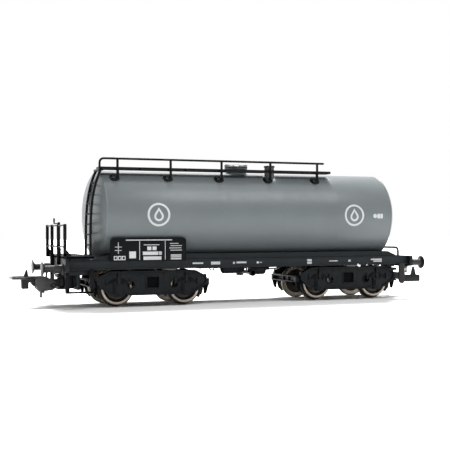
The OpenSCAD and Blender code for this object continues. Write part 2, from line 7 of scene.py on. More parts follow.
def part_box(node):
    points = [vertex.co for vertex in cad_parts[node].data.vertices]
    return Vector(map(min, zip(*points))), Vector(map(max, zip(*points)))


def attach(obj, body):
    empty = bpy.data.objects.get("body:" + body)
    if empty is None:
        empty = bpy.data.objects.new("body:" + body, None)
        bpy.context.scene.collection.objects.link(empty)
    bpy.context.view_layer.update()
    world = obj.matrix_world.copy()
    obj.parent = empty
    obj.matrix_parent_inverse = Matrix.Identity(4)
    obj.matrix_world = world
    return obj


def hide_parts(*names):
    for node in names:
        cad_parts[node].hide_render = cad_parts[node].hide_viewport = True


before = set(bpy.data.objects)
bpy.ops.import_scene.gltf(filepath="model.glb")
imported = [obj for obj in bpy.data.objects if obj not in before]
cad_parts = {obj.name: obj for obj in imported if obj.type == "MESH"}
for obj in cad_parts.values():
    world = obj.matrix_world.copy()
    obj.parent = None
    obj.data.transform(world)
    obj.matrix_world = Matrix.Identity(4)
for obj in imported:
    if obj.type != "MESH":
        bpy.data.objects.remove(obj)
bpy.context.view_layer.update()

# All pieces are drawn in millimetres in the wagon's own frame and scaled to metres at the end:
# X along the wagon (brake platform at -X), Y across (near side -Y), Z up from the rail.
MM = 0.001
BOTH = (-1, 1)


class Box:
    """A CAD node's box in millimetres."""

    def __init__(self, node):
        lo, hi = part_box(node)
        self.x0, self.y0, self.z0 = (v / MM for v in lo)
        self.x1, self.y1, self.z1 = (v / MM for v in hi)
        self.cx, self.cy, self.cz = ((self.x0 + self.x1) / 2, (self.y0 + self.y1) / 2, (self.z0 + self.z1) / 2)


# ------------------------------------------------------------------ outlines
AXES = {"x": (1, 2, 0), "y": (0, 2, 1), "z": (0, 1, 2)}  # plane (u, v) and the axis along which a shape is drawn


def place(axis, u, v, a):
    p = [0.0, 0.0, 0.0]
    iu, iv, ia = AXES[axis]
    p[iu], p[iv], p[ia] = u, v, a
    return Vector(p)


def arc(cx, cy, r, a0, a1, n):
    """Points on an arc, in degrees."""
    turns = (math.radians(a0 + (a1 - a0) * i / n) for i in range(n + 1))
    return [(cx + r * math.cos(t), cy + r * math.sin(t)) for t in turns]


def circle(cx, cy, r, n=24):
    return arc(cx, cy, r, 0, 360, n)[:-1]


def rect(u0, u1, v0, v1, r=0.0, n=4):
    """A rectangle with rounded corners."""
    if r <= 0:
        return [(u0, v0), (u1, v0), (u1, v1), (u0, v1)]
    return (arc(u1 - r, v0 + r, r, -90, 0, n) + arc(u1 - r, v1 - r, r, 0, 90, n)
            + arc(u0 + r, v1 - r, r, 90, 180, n) + arc(u0 + r, v0 + r, r, 180, 270, n))


def bar(half_u, half_v, r, n=2):
    """The section of a bar, about its own middle."""
    return rect(-half_u, half_u, -half_v, half_v, r, n)


def soften(points, r, n=4, closed=False):
    """Rounds the corners of a polyline (2D or 3D) with radius-like reach r."""
    pts = [Vector(p) for p in points]
    out = []
    count = len(pts)
    for i, p in enumerate(pts):
        if not closed and i in (0, count - 1):
            out.append(p)
            continue
        a, b = pts[i - 1], pts[(i + 1) % count]
        da, db = a - p, b - p
        reach = min(r, da.length * 0.49, db.length * 0.49)
        p0, p1 = p + da.normalized() * reach, p + db.normalized() * reach
        for k in range(n + 1):
            t = k / n
            out.append(p0 * (1 - t) ** 2 + p * 2 * t * (1 - t) + p1 * t * t)
    return out


def pad(u0, u1, v0, v1, r, n=4):
    """A rectangle with softened corners."""
    return soften(rect(u0, u1, v0, v1), r, n, closed=True)


def dedupe(loop):
    """Drops points that repeat the one before them."""
    out = []
    for q in loop:
        if not out or (Vector(q) - Vector(out[-1])).length > 1e-4:
            out.append(q)
    if (Vector(out[0]) - Vector(out[-1])).length < 1e-4:
        out.pop()
    return out


def along(a, b, n):
    """n + 1 even steps from a to b."""
    return [a + (b - a) * i / n for i in range(n + 1)]


def span(s, a, b):
    """Distances a and b on side s, lowest first."""
    return sorted((s * a, s * b))


def peg(r, a0, a1):
    """Profile of a plain pin from a0 to a1."""
    return [(0, a0), (r, a0), (r, a1), (0, a1)]


# ------------------------------------------------------------------ mesh tools
def fill(loops, point):
    """Faces inside the first loop and outside the others; point(u, v) gives a corner's place."""
    bm = bmesh.new()
    edges = []
    for loop in loops:
        verts = [bm.verts.new(point(u, v)) for u, v in loop]
        edges += [bm.edges.new((verts[i - 1], verts[i])) for i in range(len(verts))]
    bmesh.ops.triangle_fill(bm, use_beauty=True, use_dissolve=False, edges=edges)
    return bm


def thicken(bm):
    """Turns faces into a closed shell of no thickness, and returns the corners of its far side."""
    made = bmesh.ops.extrude_face_region(bm, geom=list(bm.faces), use_keep_orig=True)
    return [g for g in made["geom"] if isinstance(g, bmesh.types.BMVert)]


def round_edges(bm, width, seg=2, angle=25):
    edges = [e for e in bm.edges if len(e.link_faces) == 2 and e.calc_face_angle(0) > math.radians(angle)]
    if edges and width > 0.005:
        bmesh.ops.bevel(bm, geom=edges, offset=width, segments=seg, profile=0.6, affect="EDGES", clamp_overlap=True)


class Piece:
    """Collects closed solids in millimetres and turns them into one object that rides on a CAD body."""

    def __init__(self, name, body, slot, *materials):
        self.name, self.body, self.slot, self.materials = name, body, slot, materials
        self.bm = bmesh.new()

    def merge(self, tmp, mat=0):
        for f in tmp.faces:
            f.material_index = mat
        mesh = bpy.data.meshes.new("part")
        tmp.to_mesh(mesh)
        tmp.free()
        self.bm.from_mesh(mesh)
        bpy.data.meshes.remove(mesh)
        return self

    def box(self, x0, x1, y0, y1, z0, z1, bevel=0.08, mat=0, seg=2):
        tmp = bmesh.new()
        bmesh.ops.create_cube(tmp, size=1)
        size, mid = (x1 - x0, y1 - y0, z1 - z0), ((x0 + x1) / 2, (y0 + y1) / 2, (z0 + z1) / 2)
        for v in tmp.verts:
            v.co = Vector(v.co[i] * size[i] + mid[i] for i in range(3))
        round_edges(tmp, min(bevel, min(size) * 0.4), seg)
        return self.merge(tmp, mat)

    def plate(self, loops, axis, a0, a1, bevel=0.06, mat=0, seg=2):
        """An outline, with any holes after it, drawn from a0 to a1 along an axis."""
        tmp = fill(loops, lambda u, v: place(axis, u, v, a0))
        bmesh.ops.translate(tmp, verts=thicken(tmp), vec=place(axis, 0, 0, a1 - a0))
        bmesh.ops.recalc_face_normals(tmp, faces=tmp.faces)
        round_edges(tmp, min(bevel, abs(a1 - a0) * 0.4), seg)
        return self.merge(tmp, mat)

    def lathe(self, profile, axis, centre, seg=48, mat=0, loop=False):
        """profile: (radius, distance along the axis) points; loop joins the last to the first."""
        tmp = bmesh.new()
        iu, iv, ia = AXES[axis]
        rings = []
        for r, a in profile:
            turns = [2 * math.pi * k / seg for k in range(1 if r < 1e-6 else seg)]
            rings.append([tmp.verts.new(place(axis, centre[iu] + r * math.cos(t), centre[iv] + r * math.sin(t),
                                              centre[ia] + a)) for t in turns])
        pairs = list(zip(rings, rings[1:])) + ([(rings[-1], rings[0])] if loop else [])
        for a, b in pairs:
            for k in range(seg):
                quad = []
                for v in (a[k % len(a)], a[(k + 1) % len(a)], b[(k + 1) % len(b)], b[k % len(b)]):
                    if v not in quad:
                        quad.append(v)
                if len(quad) > 2:
                    tmp.faces.new(quad)
        for ring in (rings[0], rings[-1]):
            if not loop and len(ring) > 1:
                tmp.faces.new(ring)
        bmesh.ops.recalc_face_normals(tmp, faces=tmp.faces)
        return self.merge(tmp, mat)

    def sweep(self, points, section, side=None, mat=0):
        """Draws a closed section along a polyline. side: a fixed direction for the section's first axis."""
        pts = [Vector(p) for p in points]
        tmp = bmesh.new()
        last, rings, across = len(pts) - 1, [], None
        for i, p in enumerate(pts):
            t = (pts[min(i + 1, last)] - pts[max(i - 1, 0)]).normalized()
            if side is not None:
                across = Vector(side)
            elif across is None:
                across = t.orthogonal().normalized()
            across = (across - t * across.dot(t)).normalized()
            n = t.cross(across)
            rings.append([tmp.verts.new(p + across * u + n * v) for u, v in section])
        m = len(section)
        for a, b in zip(rings, rings[1:]):
            for k in range(m):
                tmp.faces.new((a[k], a[(k + 1) % m], b[(k + 1) % m], b[k]))
        tmp.faces.new(rings[0])
        tmp.faces.new(rings[-1])
        bmesh.ops.recalc_face_normals(tmp, faces=tmp.faces)
        return self.merge(tmp, mat)

    def tube(self, points, d, seg=12, mat=0):
        return self.sweep(points, circle(0, 0, d / 2, seg), None, mat)

    def ball(self, centre, d, seg=14):
        tmp = bmesh.new()
        bmesh.ops.create_uvsphere(tmp, u_segments=seg, v_segments=seg // 2, radius=d / 2)
        bmesh.ops.transform(tmp, matrix=Matrix.Translation(Vector(centre)), verts=tmp.verts)
        return self.merge(tmp)

    def bolt(self, axis, at, d, h, mat=0, sides=6):
        """A bolt head standing on a face; h may be negative to point the other way."""
        r = d / 2
        return self.lathe([(r, 0), (r, h * 0.75), (r * 0.82, h), (0, h)], axis, at, sides, mat)

    def rivet(self, axis, at, d, h):
        """A domed rivet head."""
        r = d / 2
        dome = [(r, 0), (r * 0.96, h * 0.35), (r * 0.72, h * 0.78), (r * 0.35, h * 0.97), (0, h)]
        return self.lathe(dome, axis, at, 10)

    def rivets(self, axis, xs, ys, zs, d, h):
        """Rivets wherever the given coordinates cross."""
        for x in xs:
            for y in ys:
                for z in zs:
                    self.rivet(axis, (x, y, z), d, h)

    def bolt_ring(self, axis, centre, radius, count, start, d, h, mat=0):
        """Bolts round a circle; start is the first one's angle in degrees."""
        iu, iv, ia = AXES[axis]
        for k in range(count):
            t = math.radians(360 / count * k + start)
            u, v = centre[iu] + radius * math.cos(t), centre[iv] + radius * math.sin(t)
            self.bolt(axis, place(axis, u, v, centre[ia]), d, h, mat)

    def frame(self, x0, x1, y0, y1, z0, z1, edge):
        """Four flat bars round a rectangle."""
        for a, b in ((y0, y0 + edge), (y1 - edge, y1)):
            self.box(x0, x1, a, b, z0, z1, 0.06)
        for a, b in ((x0, x0 + edge), (x1 - edge, x1)):
            self.box(a, b, y0, y1, z0, z1, 0.06)

    def mirrored(self):
        """Adds the mirror image of everything in the piece so far, across the wagon's length."""
        everything = list(self.bm.verts) + list(self.bm.edges) + list(self.bm.faces)
        made = bmesh.ops.duplicate(self.bm, geom=everything)["geom"]
        for g in made:
            if isinstance(g, bmesh.types.BMVert):
                g.co.y = -g.co.y
        bmesh.ops.reverse_faces(self.bm, faces=[g for g in made if isinstance(g, bmesh.types.BMFace)])

    def flipped(self):
        """Turns the piece into its mirror image at the other end of the wagon."""
        for v in self.bm.verts:
            v.co.x = -v.co.x
        bmesh.ops.reverse_faces(self.bm, faces=self.bm.faces)

    def moved(self, dx):
        bmesh.ops.translate(self.bm, vec=(dx, 0, 0), verts=self.bm.verts)

    def done(self, *replaces, angle=32):
        mesh = bpy.data.meshes.new(self.name)
        bmesh.ops.scale(self.bm, vec=(MM, MM, MM), verts=self.bm.verts)
        self.bm.to_mesh(mesh)
        self.bm.free()
        for m in self.materials:
            mesh.materials.append(m)
        mesh.polygons.foreach_set("use_smooth", [True] * len(mesh.polygons))
        mesh.set_sharp_from_angle(angle=math.radians(angle))
        obj = bpy.data.objects.new(self.name, mesh)
        bpy.context.scene.collection.objects.link(obj)
        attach(obj, self.body)
        if replaces:
            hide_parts(*replaces)


def black(name, *materials):
    """A piece of the wagon's black underframe and fittings."""
    return Piece(name, "wagon", "chassis_black", *materials)


def grey(name, *materials):
    """A piece of the wagon's grey tank."""
    return Piece(name, "wagon", "tank_grey", *materials)


# ------------------------------------------------------------------ materials
class Nodes:
    """Builds the nodes of a material or world. An input that is a socket is linked, any other value is set."""

    def __init__(self, owner, clear=False):
        owner.use_nodes = True
        self.tree = owner.node_tree
        if clear:
            self.tree.nodes.clear()

    def set(self, node, inputs):
        for key, value in inputs.items():
            if isinstance(value, bpy.types.NodeSocket):
                self.tree.links.new(value, node.inputs[key])
            else:
                node.inputs[key].default_value = value

    def add(self, kind, inputs, out=0, **settings):
        """A new node's output socket."""
        node = self.tree.nodes.new("ShaderNode" + kind)
        for key, value in settings.items():
            setattr(node, key, value)
        self.set(node, inputs)
        return node.outputs[out] if node.outputs else None

    def math(self, operation, a, b=0.5):
        return self.add("Math", {0: a, 1: b}, operation=operation)

    def map(self, value, from_min, from_max, to_min, to_max):
        return self.add("MapRange", {"Value": value, "From Min": from_min, "From Max": from_max,
                                     "To Min": to_min, "To Max": to_max})

    def ramp(self, source, low, high, c0, c1):
        out = self.add("ValToRGB", {"Fac": source})
        ends = out.node.color_ramp.elements
        ends[0].position, ends[1].position = low, high
        ends[0].color, ends[1].color = c0, c1
        return out


def surface(name, colour, rough, metallic=0.0, spec=0.5, tint=0.10, grain=0.35, grain_mm=0.12, cloud_mm=9.0,
            rough_swing=0.08, dust_and_sheen=0.0, rings=None):
    """Moulded or painted surface: soft colour clouds, fine grain in bump and gloss, and a little dust with painted
    highlight on upward faces.
    rings = (x, z, pitch, depth) adds turning marks round a crosswise axle, in mm."""
    mat = bpy.data.materials.new(name)
    t = Nodes(mat)
    bsdf = mat.node_tree.nodes["Principled BSDF"]
    t.set(bsdf, {"Metallic": metallic, "Specular IOR Level": spec, "Coat Weight": 0.0, "Coat Roughness": 0.25})
    coord = t.add("TexCoord", {}, "Object")

    def noise(size_mm, detail, roughness=0.55):
        return t.add("TexNoise", {"Scale": 1.0 / (size_mm * MM), "Detail": detail, "Roughness": roughness,
                                  "Vector": coord})

    def shade(k):
        return tuple(min(1.0, c * k) for c in colour) + (1,)

    clouds = t.ramp(noise(cloud_mm, 4.0), 0.35, 0.65, shade(1 - tint), shade(1 + tint))
    speck = t.ramp(noise(grain_mm * 2.2, 2.0), 0.3, 0.7, (0.90, 0.90, 0.90, 1), (1.08, 1.08, 1.08, 1))
    mixed = t.add("Mix", {"Factor": 0.7, 6: clouds, 7: speck}, 2, data_type="RGBA", blend_type="MULTIPLY")
    # dust and painted highlight: upward faces are mixed towards a light grey
    if dust_and_sheen > 0:
        normal = t.add("NewGeometry", {}, "Normal")
        up = t.map(t.add("SeparateXYZ", {"Vector": normal}, "Z"), 0.35, 1.0, 0.0, dust_and_sheen)
        amount = t.math("MULTIPLY", up, noise(1.6, 5.0))
        mixed = t.add("Mix", {"Factor": amount, 6: mixed, 7: (0.25, 0.23, 0.2, 1)}, 2, data_type="RGBA")
    gloss = t.map(noise(2.3, 4.0), 0.3, 0.7, max(0.03, rough - rough_swing), min(1.0, rough + rough_swing))
    bump = t.add("Bump", {"Strength": grain, "Distance": 0.00002, "Height": noise(grain_mm, 3.0, 0.6)})
    if rings:
        x, z, pitch, depth = rings
        parts = t.add("SeparateXYZ", {"Vector": coord}).node.outputs
        squares = [t.math("POWER", t.math("SUBTRACT", parts[k], c * MM), 2.0) for k, c in (("X", x), ("Z", z))]
        radius = t.math("SQRT", t.math("ADD", *squares))
        wave = t.math("SINE", t.math("MULTIPLY", radius, 2 * math.pi / (pitch * MM)))
        bump = t.add("Bump", {"Strength": depth, "Distance": 0.00001, "Height": wave, "Normal": bump})
    t.set(bsdf, {"Base Color": mixed, "Roughness": gloss, "Normal": bump})
    return mat


TANK_GREY = surface("tank_paint", (0.205, 0.235, 0.245), 0.36, spec=0.45, tint=0.035, grain=0.25, grain_mm=0.10,
                    cloud_mm=14, rough_swing=0.05)
FITTING_GREY = surface("fitting_paint", (0.125, 0.140, 0.146), 0.45, spec=0.4, tint=0.06, dust_and_sheen=0.06)
CHASSIS = surface("chassis_plastic", (0.0120, 0.0160, 0.0185), 0.42, spec=0.16, tint=0.15, grain=0.45, grain_mm=0.10,
                  dust_and_sheen=0.035)
WALK = surface("walkway_plastic", (0.0060, 0.0068, 0.0072), 0.50, spec=0.12, tint=0.18, grain=0.5, dust_and_sheen=0.06)
RAIL = surface("rail_plastic", (0.0030, 0.0036, 0.0044), 0.38, spec=0.10, tint=0.15, grain=0.25, grain_mm=0.08)
BOGIE = surface("bogie_plastic", (0.0085, 0.0112, 0.0130), 0.46, spec=0.14, tint=0.18, grain=0.5, grain_mm=0.11,
                rough_swing=0.10, dust_and_sheen=0.04)
# painted shade: a near-black material for parts and recesses that are meant to look shaded
PAINTED_SHADE = surface("shadow_plastic", (0.0020, 0.0022, 0.0026), 0.6, spec=0.05, tint=0.2, grain=0.4)
COUPLER = surface("coupler_plastic", (0.011, 0.0115, 0.012), 0.36, spec=0.18, tint=0.15, grain=0.3, grain_mm=0.09)
WIRE = surface("blackened_wire", (0.020, 0.021, 0.022), 0.34, tint=0.2, grain=0.4)
BOARD = surface("board_plastic", (0.0048, 0.0058, 0.0066), 0.45, spec=0.08, grain=0.4, dust_and_sheen=0.02)
BROWN = surface("step_plastic", (0.024, 0.0225, 0.021), 0.5, spec=0.2, tint=0.15, grain=0.45, dust_and_sheen=0.04)
BUFFER = surface("buffer_plastic", (0.026, 0.027, 0.027), 0.40, spec=0.30, tint=0.15, grain=0.4)
PRINT = surface("white_print", (0.88, 0.90, 0.90), 0.5, tint=0.05, grain=0.3, grain_mm=0.08)
PRINT_DIM = surface("grey_print", (0.74, 0.76, 0.77), 0.5, tint=0.08, grain=0.3, grain_mm=0.08)
STEEL = surface("turned_steel", (0.40, 0.38, 0.35), 0.30, metallic=1.0, tint=0.08, grain=0.3)
RUBBER = surface("hose_rubber", (0.012, 0.012, 0.013), 0.62, spec=0.35, tint=0.15, grain=0.5, grain_mm=0.09)


# ------------------------------------------------------------------ tank
TANK = Box("tank")
RADIUS = (TANK.z1 - TANK.z0) / 2
HEAD = 4.0  # depth of a dished head
BARREL0, BARREL1 = TANK.x0 + HEAD, TANK.x1 - HEAD


def on_tank(y):
    """Height of the barrel's surface at a distance from the centre."""
    return TANK.cz + math.sqrt(RADIUS * RADIUS - y * y)


def build_tank():
    steps = [math.sin(math.pi / 2 * i / 44) for i in range(45)]
    dish = [(RADIUS * t, HEAD * (1 - t ** 2.6) ** 0.75) for t in steps]
    left = [(r, BARREL0 - depth) for r, depth in dish]
    right = [(r, BARREL1 + depth) for r, depth in reversed(dish)]
    barrel = []
    for x in along(BARREL0, BARREL1, 5)[1:-1]:  # ring seams between the plates of the barrel
        for dx, dr in ((-0.32, 0), (-0.16, 0.010), (0, 0.016), (0.16, 0.010), (0.32, 0)):
            barrel.append((RADIUS - 0.02 + dr, x + dx))

    def groove(x, s):
        """A fine groove where a head meets the barrel."""
        steps_in = ((0, 0), (0, 0.25), (0.05, 0.32), (0.05, 0.42), (0.02, 0.50))
        return [(RADIUS - depth, x + s * dx) for depth, dx in steps_in]

    profile = left[:-1] + groove(BARREL0, 1) + barrel + groove(BARREL1, -1)[::-1] + right[1:]
    p = grey("tank_shell", TANK_GREY)
    p.lathe(profile, "x", (0, TANK.cy, TANK.cz), seg=256)
    p.done("tank", angle=40)


def build_roof_fittings():
    m = Box("manhole")
    r = (m.y1 - m.y0) / 2
    top, c = m.z1, (m.cx, m.cy, m.z1)
    low = on_tank(r) - 0.5 - top
    p = grey("manhole_neck", FITTING_GREY, STEEL, PAINTED_SHADE)
    p.lathe([(0, low), (r - 0.4, low), (r - 0.4, -2.0), (r - 0.1, -1.95), (r, -1.85), (r, -1.45), (r - 0.22, -1.40),
             (r - 0.22, -1.22), (r, -1.14), (r, -0.94), (r - 0.12, -0.86), (r - 0.45, -0.78), (r - 0.9, -0.58),
             (r - 1.8, -0.28), (r - 2.8, -0.10), (0, -0.04)], "z", c, 72)
    p.lathe(rect(r - 0.26, r - 0.19, -1.38, -1.24), "z", c, 72, 2, loop=True)  # painted shade: a dark line in the groove under the lid
    for k in range(10):  # swing bolts round the lid
        a = math.radians(36 * k + 18)
        x, y = m.cx + (r - 0.32) * math.cos(a), m.cy + (r - 0.32) * math.sin(a)
        p.lathe([(0.16, -1.5), (0.16, -0.9), (0.26, -0.9), (0.26, -0.68), (0.12, -0.6), (0, -0.6)], "z", (x, y, top), 8)
    for x0, x1 in ((m.x0, m.x0 + 1.0), (m.x1 - 1.0, m.x1)):  # toggle lug and hinge lug
        for y in (-0.55, 0.15):
            p.plate([pad(x0, x1, top - 1.9, top - 0.15, 0.25)], "y", m.cy + y, m.cy + y + 0.4)
        p.lathe(peg(0.22, -0.68, 0.68), "y", ((x0 + x1) / 2, m.cy, top - 0.5), 12, 1)
        p.box(min(x0, m.cx), max(x1, m.cx), m.cy - 0.28, m.cy + 0.28, top - 0.5, top - 0.2)
    p.ball((m.cx, m.cy, top - 0.3), 0.55)
    p.done("manhole")

    v = Box("vent_dome")
    r, c = (v.x1 - v.x0) / 2, (v.cx, v.cy, v.z1)
    low = on_tank(v.y0) - 0.4 - v.z1
    p = grey("vent_dome_cap", FITTING_GREY, WALK)
    p.lathe([(0, low), (r - 0.25, low), (r - 0.25, -0.75), (r - 0.12, -0.7), (0, -0.7)], "z", c)
    p.lathe([(0, -0.7), (r, -0.7), (r, -0.38), (r - 0.08, -0.28), (r - 0.45, -0.14), (r - 1.1, -0.05), (0, 0)], "z", c,
            48, 1)
    p.bolt_ring("z", (v.cx, v.cy, v.z1 - 0.25), r - 0.3, 8, 0, 0.26, 0.12, 1)
    p.lathe([(r - 0.3, low), (r - 0.05, low), (r - 0.05, low + 0.6), (r - 0.3, low + 0.8)], "z", c, loop=True)
    p.done("vent_dome")

    o = Box("overflow_trays")
    p = black("overflow_tray", WALK)
    p.box(o.x0, o.x1, o.y0, o.y1, o.z0, o.z1, 0.05)
    p.done("overflow_trays")


build_tank()
build_roof_fittings()


# ------------------------------------------------------------------ prints on surfaces
class Print(Piece):
    """Thin printed shapes that follow a surface; where(u, v, h) gives the point h above the surface."""

    def shape(self, loops, where, mat=0, step=0.45):
        tmp = fill(loops, lambda u, v: (u, v, 0))
        for _ in range(5):  # short edges, so that a shape can follow a round surface
            long_edges = [e for e in tmp.edges if e.calc_length() > step]
            if not long_edges:
                break
            bmesh.ops.subdivide_edges(tmp, edges=long_edges, cuts=1)
            bmesh.ops.triangulate(tmp, faces=[f for f in tmp.faces if len(f.verts) > 3])
        top = set(thicken(tmp))
        for v in tmp.verts:
            v.co = where(v.co.x, v.co.y, 0.03 if v in top else -0.02)
        bmesh.ops.recalc_face_normals(tmp, faces=tmp.faces)
        return self.merge(tmp, mat)


def on_barrel(side, x, z):
    """A place on the tank's side; u runs to the viewer's right, v up."""
    start = math.asin((z - TANK.cz) / RADIUS)

    def where(u, v, h):
        a, r = start + v / RADIUS, RADIUS - 0.02 + h
        return Vector((x - side * u, TANK.cy + side * r * math.cos(a), TANK.cz + r * math.sin(a)))

    return where


def on_side(side, x, y, z):
    """A place on an upright face that looks sideways."""
    return lambda u, v, h: Vector((x - side * u, side * (y + h), z + v))


def drop(u, v, r, tip):
    """Outline of a plain drop: a circle of radius r drawn up to a point at height tip."""
    return arc(u, v, r, 140, 400, 30) + [(u, tip)]


def build_tank_prints():
    p = Print("tank_prints", "wagon", "tank_grey", PRINT)
    for side in BOTH:
        for x in (-33.4, 39.8):
            where = on_barrel(side, x, TANK.cz + 0.2)
            p.shape([circle(0, 0, 3.92, 72), circle(0, 0, 3.2, 64)], where)
            p.shape([drop(0, -0.55, 1.65, 2.45), drop(0, -0.55, 0.95, 1.35)], where)
        # plain marks beside the second ring
        where = on_barrel(side, 49.6, TANK.cz - 0.1)
        p.shape([circle(-1.35, 0.05, 0.78, 28)], where)
        for u in (0.15, 1.35):
            p.shape([rect(u - 0.52, u + 0.52, -0.85, 0.85, 0.15)], where)
    p.done(angle=60)


build_tank_prints()


# ------------------------------------------------------------------ walkway, its feet, the rail and the ladder
PLANK = Box("walkway")
POSTS = [-45.9 + 18.45 * i for i in range(5)]
ROOF_RAIL = Box("handrail")
POST_Y = ROOF_RAIL.y0 + 0.425
DECK = Box("platform_deck")


def build_walkway():
    p = black("walkway_plank", WALK)
    vent = Box("vent_dome")
    gap0, gap1 = vent.x0 - 0.1, vent.x1 + 0.1
    low, top, y0, y1 = PLANK.z0, PLANK.z1, PLANK.y0, PLANK.y1
    joints = [PLANK.x0, -38.0, -22.0, -7.4, gap0, gap1, 22.0, PLANK.x1]
    for x0, x1 in zip(joints, joints[1:]):
        if x0 == gap0:
            continue
        # close cross bars and stringers in a frame, over a thin sheet
        p.frame(x0, x1, y0, y1, low, top, 0.35)
        p.box(x0 + 0.1, x1 - 0.1, y0 + 0.1, y1 - 0.1, low + 0.20, top - 0.38, 0.02, seg=1)
        for x in along(x0, x1, max(2, round((x1 - x0) / 0.62)))[1:-1]:
            p.box(x - 0.10, x + 0.10, y0 + 0.15, y1 - 0.15, top - 0.45, top - 0.04, 0.03, seg=1)
        for y in along(y0, y1, 4)[1:-1]:
            p.box(x0 + 0.15, x1 - 0.15, y - 0.09, y + 0.09, top - 0.45, top - 0.02, 0.03, seg=1)
    p.box(gap0 - 0.1, gap1 + 0.1, y0, y0 + 0.85, low, top, 0.06)  # strip past the vent dome
    for x in along(PLANK.x0 + 1.2, PLANK.x1 - 1.2, 43):  # bolts along the outer edge
        p.bolt("y", (x, y0 + 0.04, (low + top) / 2), 0.3, -0.06, sides=8)
    p.done("walkway")


def build_walkway_feet():
    b = Box("walkway_brackets")
    p = black("walkway_feet", RAIL)
    width, thick, y0 = 0.8, 0.7, PLANK.y0
    for x in POSTS:
        p.box(x + 0.05, x + 0.75, y0 + 0.12, y0 + 0.78, on_tank(y0 + 0.1) - 0.1, PLANK.z0, 0.06)
        p.box(x - 0.1, x + 0.9, y0 + 0.05, y0 + 0.9, PLANK.z0 - 0.25, PLANK.z0, 0.06)
        # a hook that lies on the barrel
        hook = soften([(x - 2.1, POST_Y + 0.9), (x - 2.05, b.y0 + 0.45), (x - 0.6, b.y0 + 0.42),
                       (x + 0.35, POST_Y - 0.35)], 0.7)
        fine = [tuple(a + (c - a) * i / 4) for a, c in zip(hook, hook[1:]) for i in range(4)] + [tuple(hook[-1])]
        r = RADIUS + thick / 2
        path = [(u, v, TANK.cz + math.sqrt(r * r - v * v)) for u, v in fine]
        p.sweep(path, bar(width / 2, thick / 2, 0.12), side=(0, 0, 1))
    p.done("walkway_brackets")


def build_handrail():
    h = ROOF_RAIL
    d, y = 0.75, POST_Y
    z = h.z1 - d / 2
    p = black("roof_handrail", RAIL)
    x_leg = POSTS[0] - 6.05
    p.tube(soften([(x_leg, y, PLANK.z0 + 0.15), (x_leg, y, z), (h.x1 - 0.05, y, z)], 2.0, 8), d, 16)
    p.ball((h.x1 - 0.1, y, z), d)
    p.box(x_leg - 0.35, x_leg + 0.35, y, PLANK.y0 + 0.3, PLANK.z0 + 0.1, PLANK.z0 + 0.75)
    foot = TANK.cz + math.sqrt((RADIUS + 0.8) ** 2 - y * y)
    for x in POSTS:
        p.tube([(x, y, foot - 0.5), (x, y, z)], 0.85, 14)
        # clamp at the walkway
        p.lathe([(0.46, 0), (0.6, 0.12), (0.6, 0.42), (0.46, 0.55)], "z", (x, y, PLANK.z0 + 0.1), 16)
        p.ball((x, y, z), 0.74, seg=16)
        p.lathe([(0, 0), (0.62, 0), (0.62, 0.25), (0.43, 0.55), (0, 0.55)], "z", (x, y, foot - 0.35), 16)
        p.box(x - 0.3, x + 0.3, y + 0.1, PLANK.y0 + 0.12, PLANK.z0 + 0.15, PLANK.z1 - 0.15, 0.06)
    p.done("handrail")


def build_ladder():
    p = black("end_ladder", RAIL, PAINTED_SHADE)
    z0, z1 = DECK.z1, PLANK.z0
    foot, head = DECK.x1 - 0.2, PLANK.x0 - 0.05
    pitch = 3.4  # between rungs

    def at(z):
        return foot + (head - foot) * max(0.0, (z - z0) / (z1 - z0)) ** 3.8

    for y in (-12.2, -5.0):
        p.sweep([(at(z), y, z) for z in along(z0, z1, 24)], bar(0.30, 0.42, 0.08), side=(0, 1, 0))
        p.box(foot - 0.6, foot + 0.6, y - 0.45, y + 0.45, z0, z0 + 0.3, 0.06)
    z = z0 + pitch
    while z < z1 - 2:
        # painted shade: the rungs are drawn in the near-black shade material, darker than the stringers
        p.tube([(at(z), -12.78, z), (at(z), -4.92, z)], 0.55, 12, 1)
        z += pitch
    end = Box("ladder").x1
    p.box(end - 1.8, end, -12.5, -4.7, z1 - 0.6, z1)
    p.done("ladder")


build_walkway()
build_walkway_feet()
build_handrail()
build_ladder()


# ------------------------------------------------------------------ underframe
SILL = Box("side_sills")
HEADSTOCKS = {-1: Box("headstock_a"), 1: Box("headstock_b")}
PIN = Box("pivot_pins")
PIVOTS = PIVOT_A, PIVOT_B = PIN.x0 + 2.2, PIN.x1 - 2.2
WEB = -SILL.y0 - 0.2    # outer face of a sill web, as a distance from the centre
INSIDE = WEB - 1.0      # its inner face
BEAM = Box("centre_sill").y1


def build_cradle():
    c = Box("cradle")
    p = black("tank_cradle", CHASSIS)
    t0, t1 = PIVOT_A - 15, PIVOT_B + 16.2
    outline = [(c.x0, c.z0), (c.x1, c.z0), (t1, c.z1), (t0, c.z1)]
    hollow = 6.0  # half width of the middle, which lies under the tank
    for s in BOTH:
        p.plate([outline], "y", *span(s, hollow, c.y1), 0.10)
        p.box(t0 + 0.6, t1 - 0.6, *span(s, c.y1 - 0.35, c.y1), c.z1 - 0.05, c.z1, 0.02)
    for x, xt, s in ((c.x0, t0, 1), (c.x1, t1, -1)):  # sloping end plates
        corners = sorted((x, x + s * 0.8)) + sorted((xt, xt + s * 0.8))[::-1]
        p.plate([list(zip(corners, (c.z0, c.z0, c.z1, c.z1)))], "y", -hollow, hollow)
    p.done("cradle")


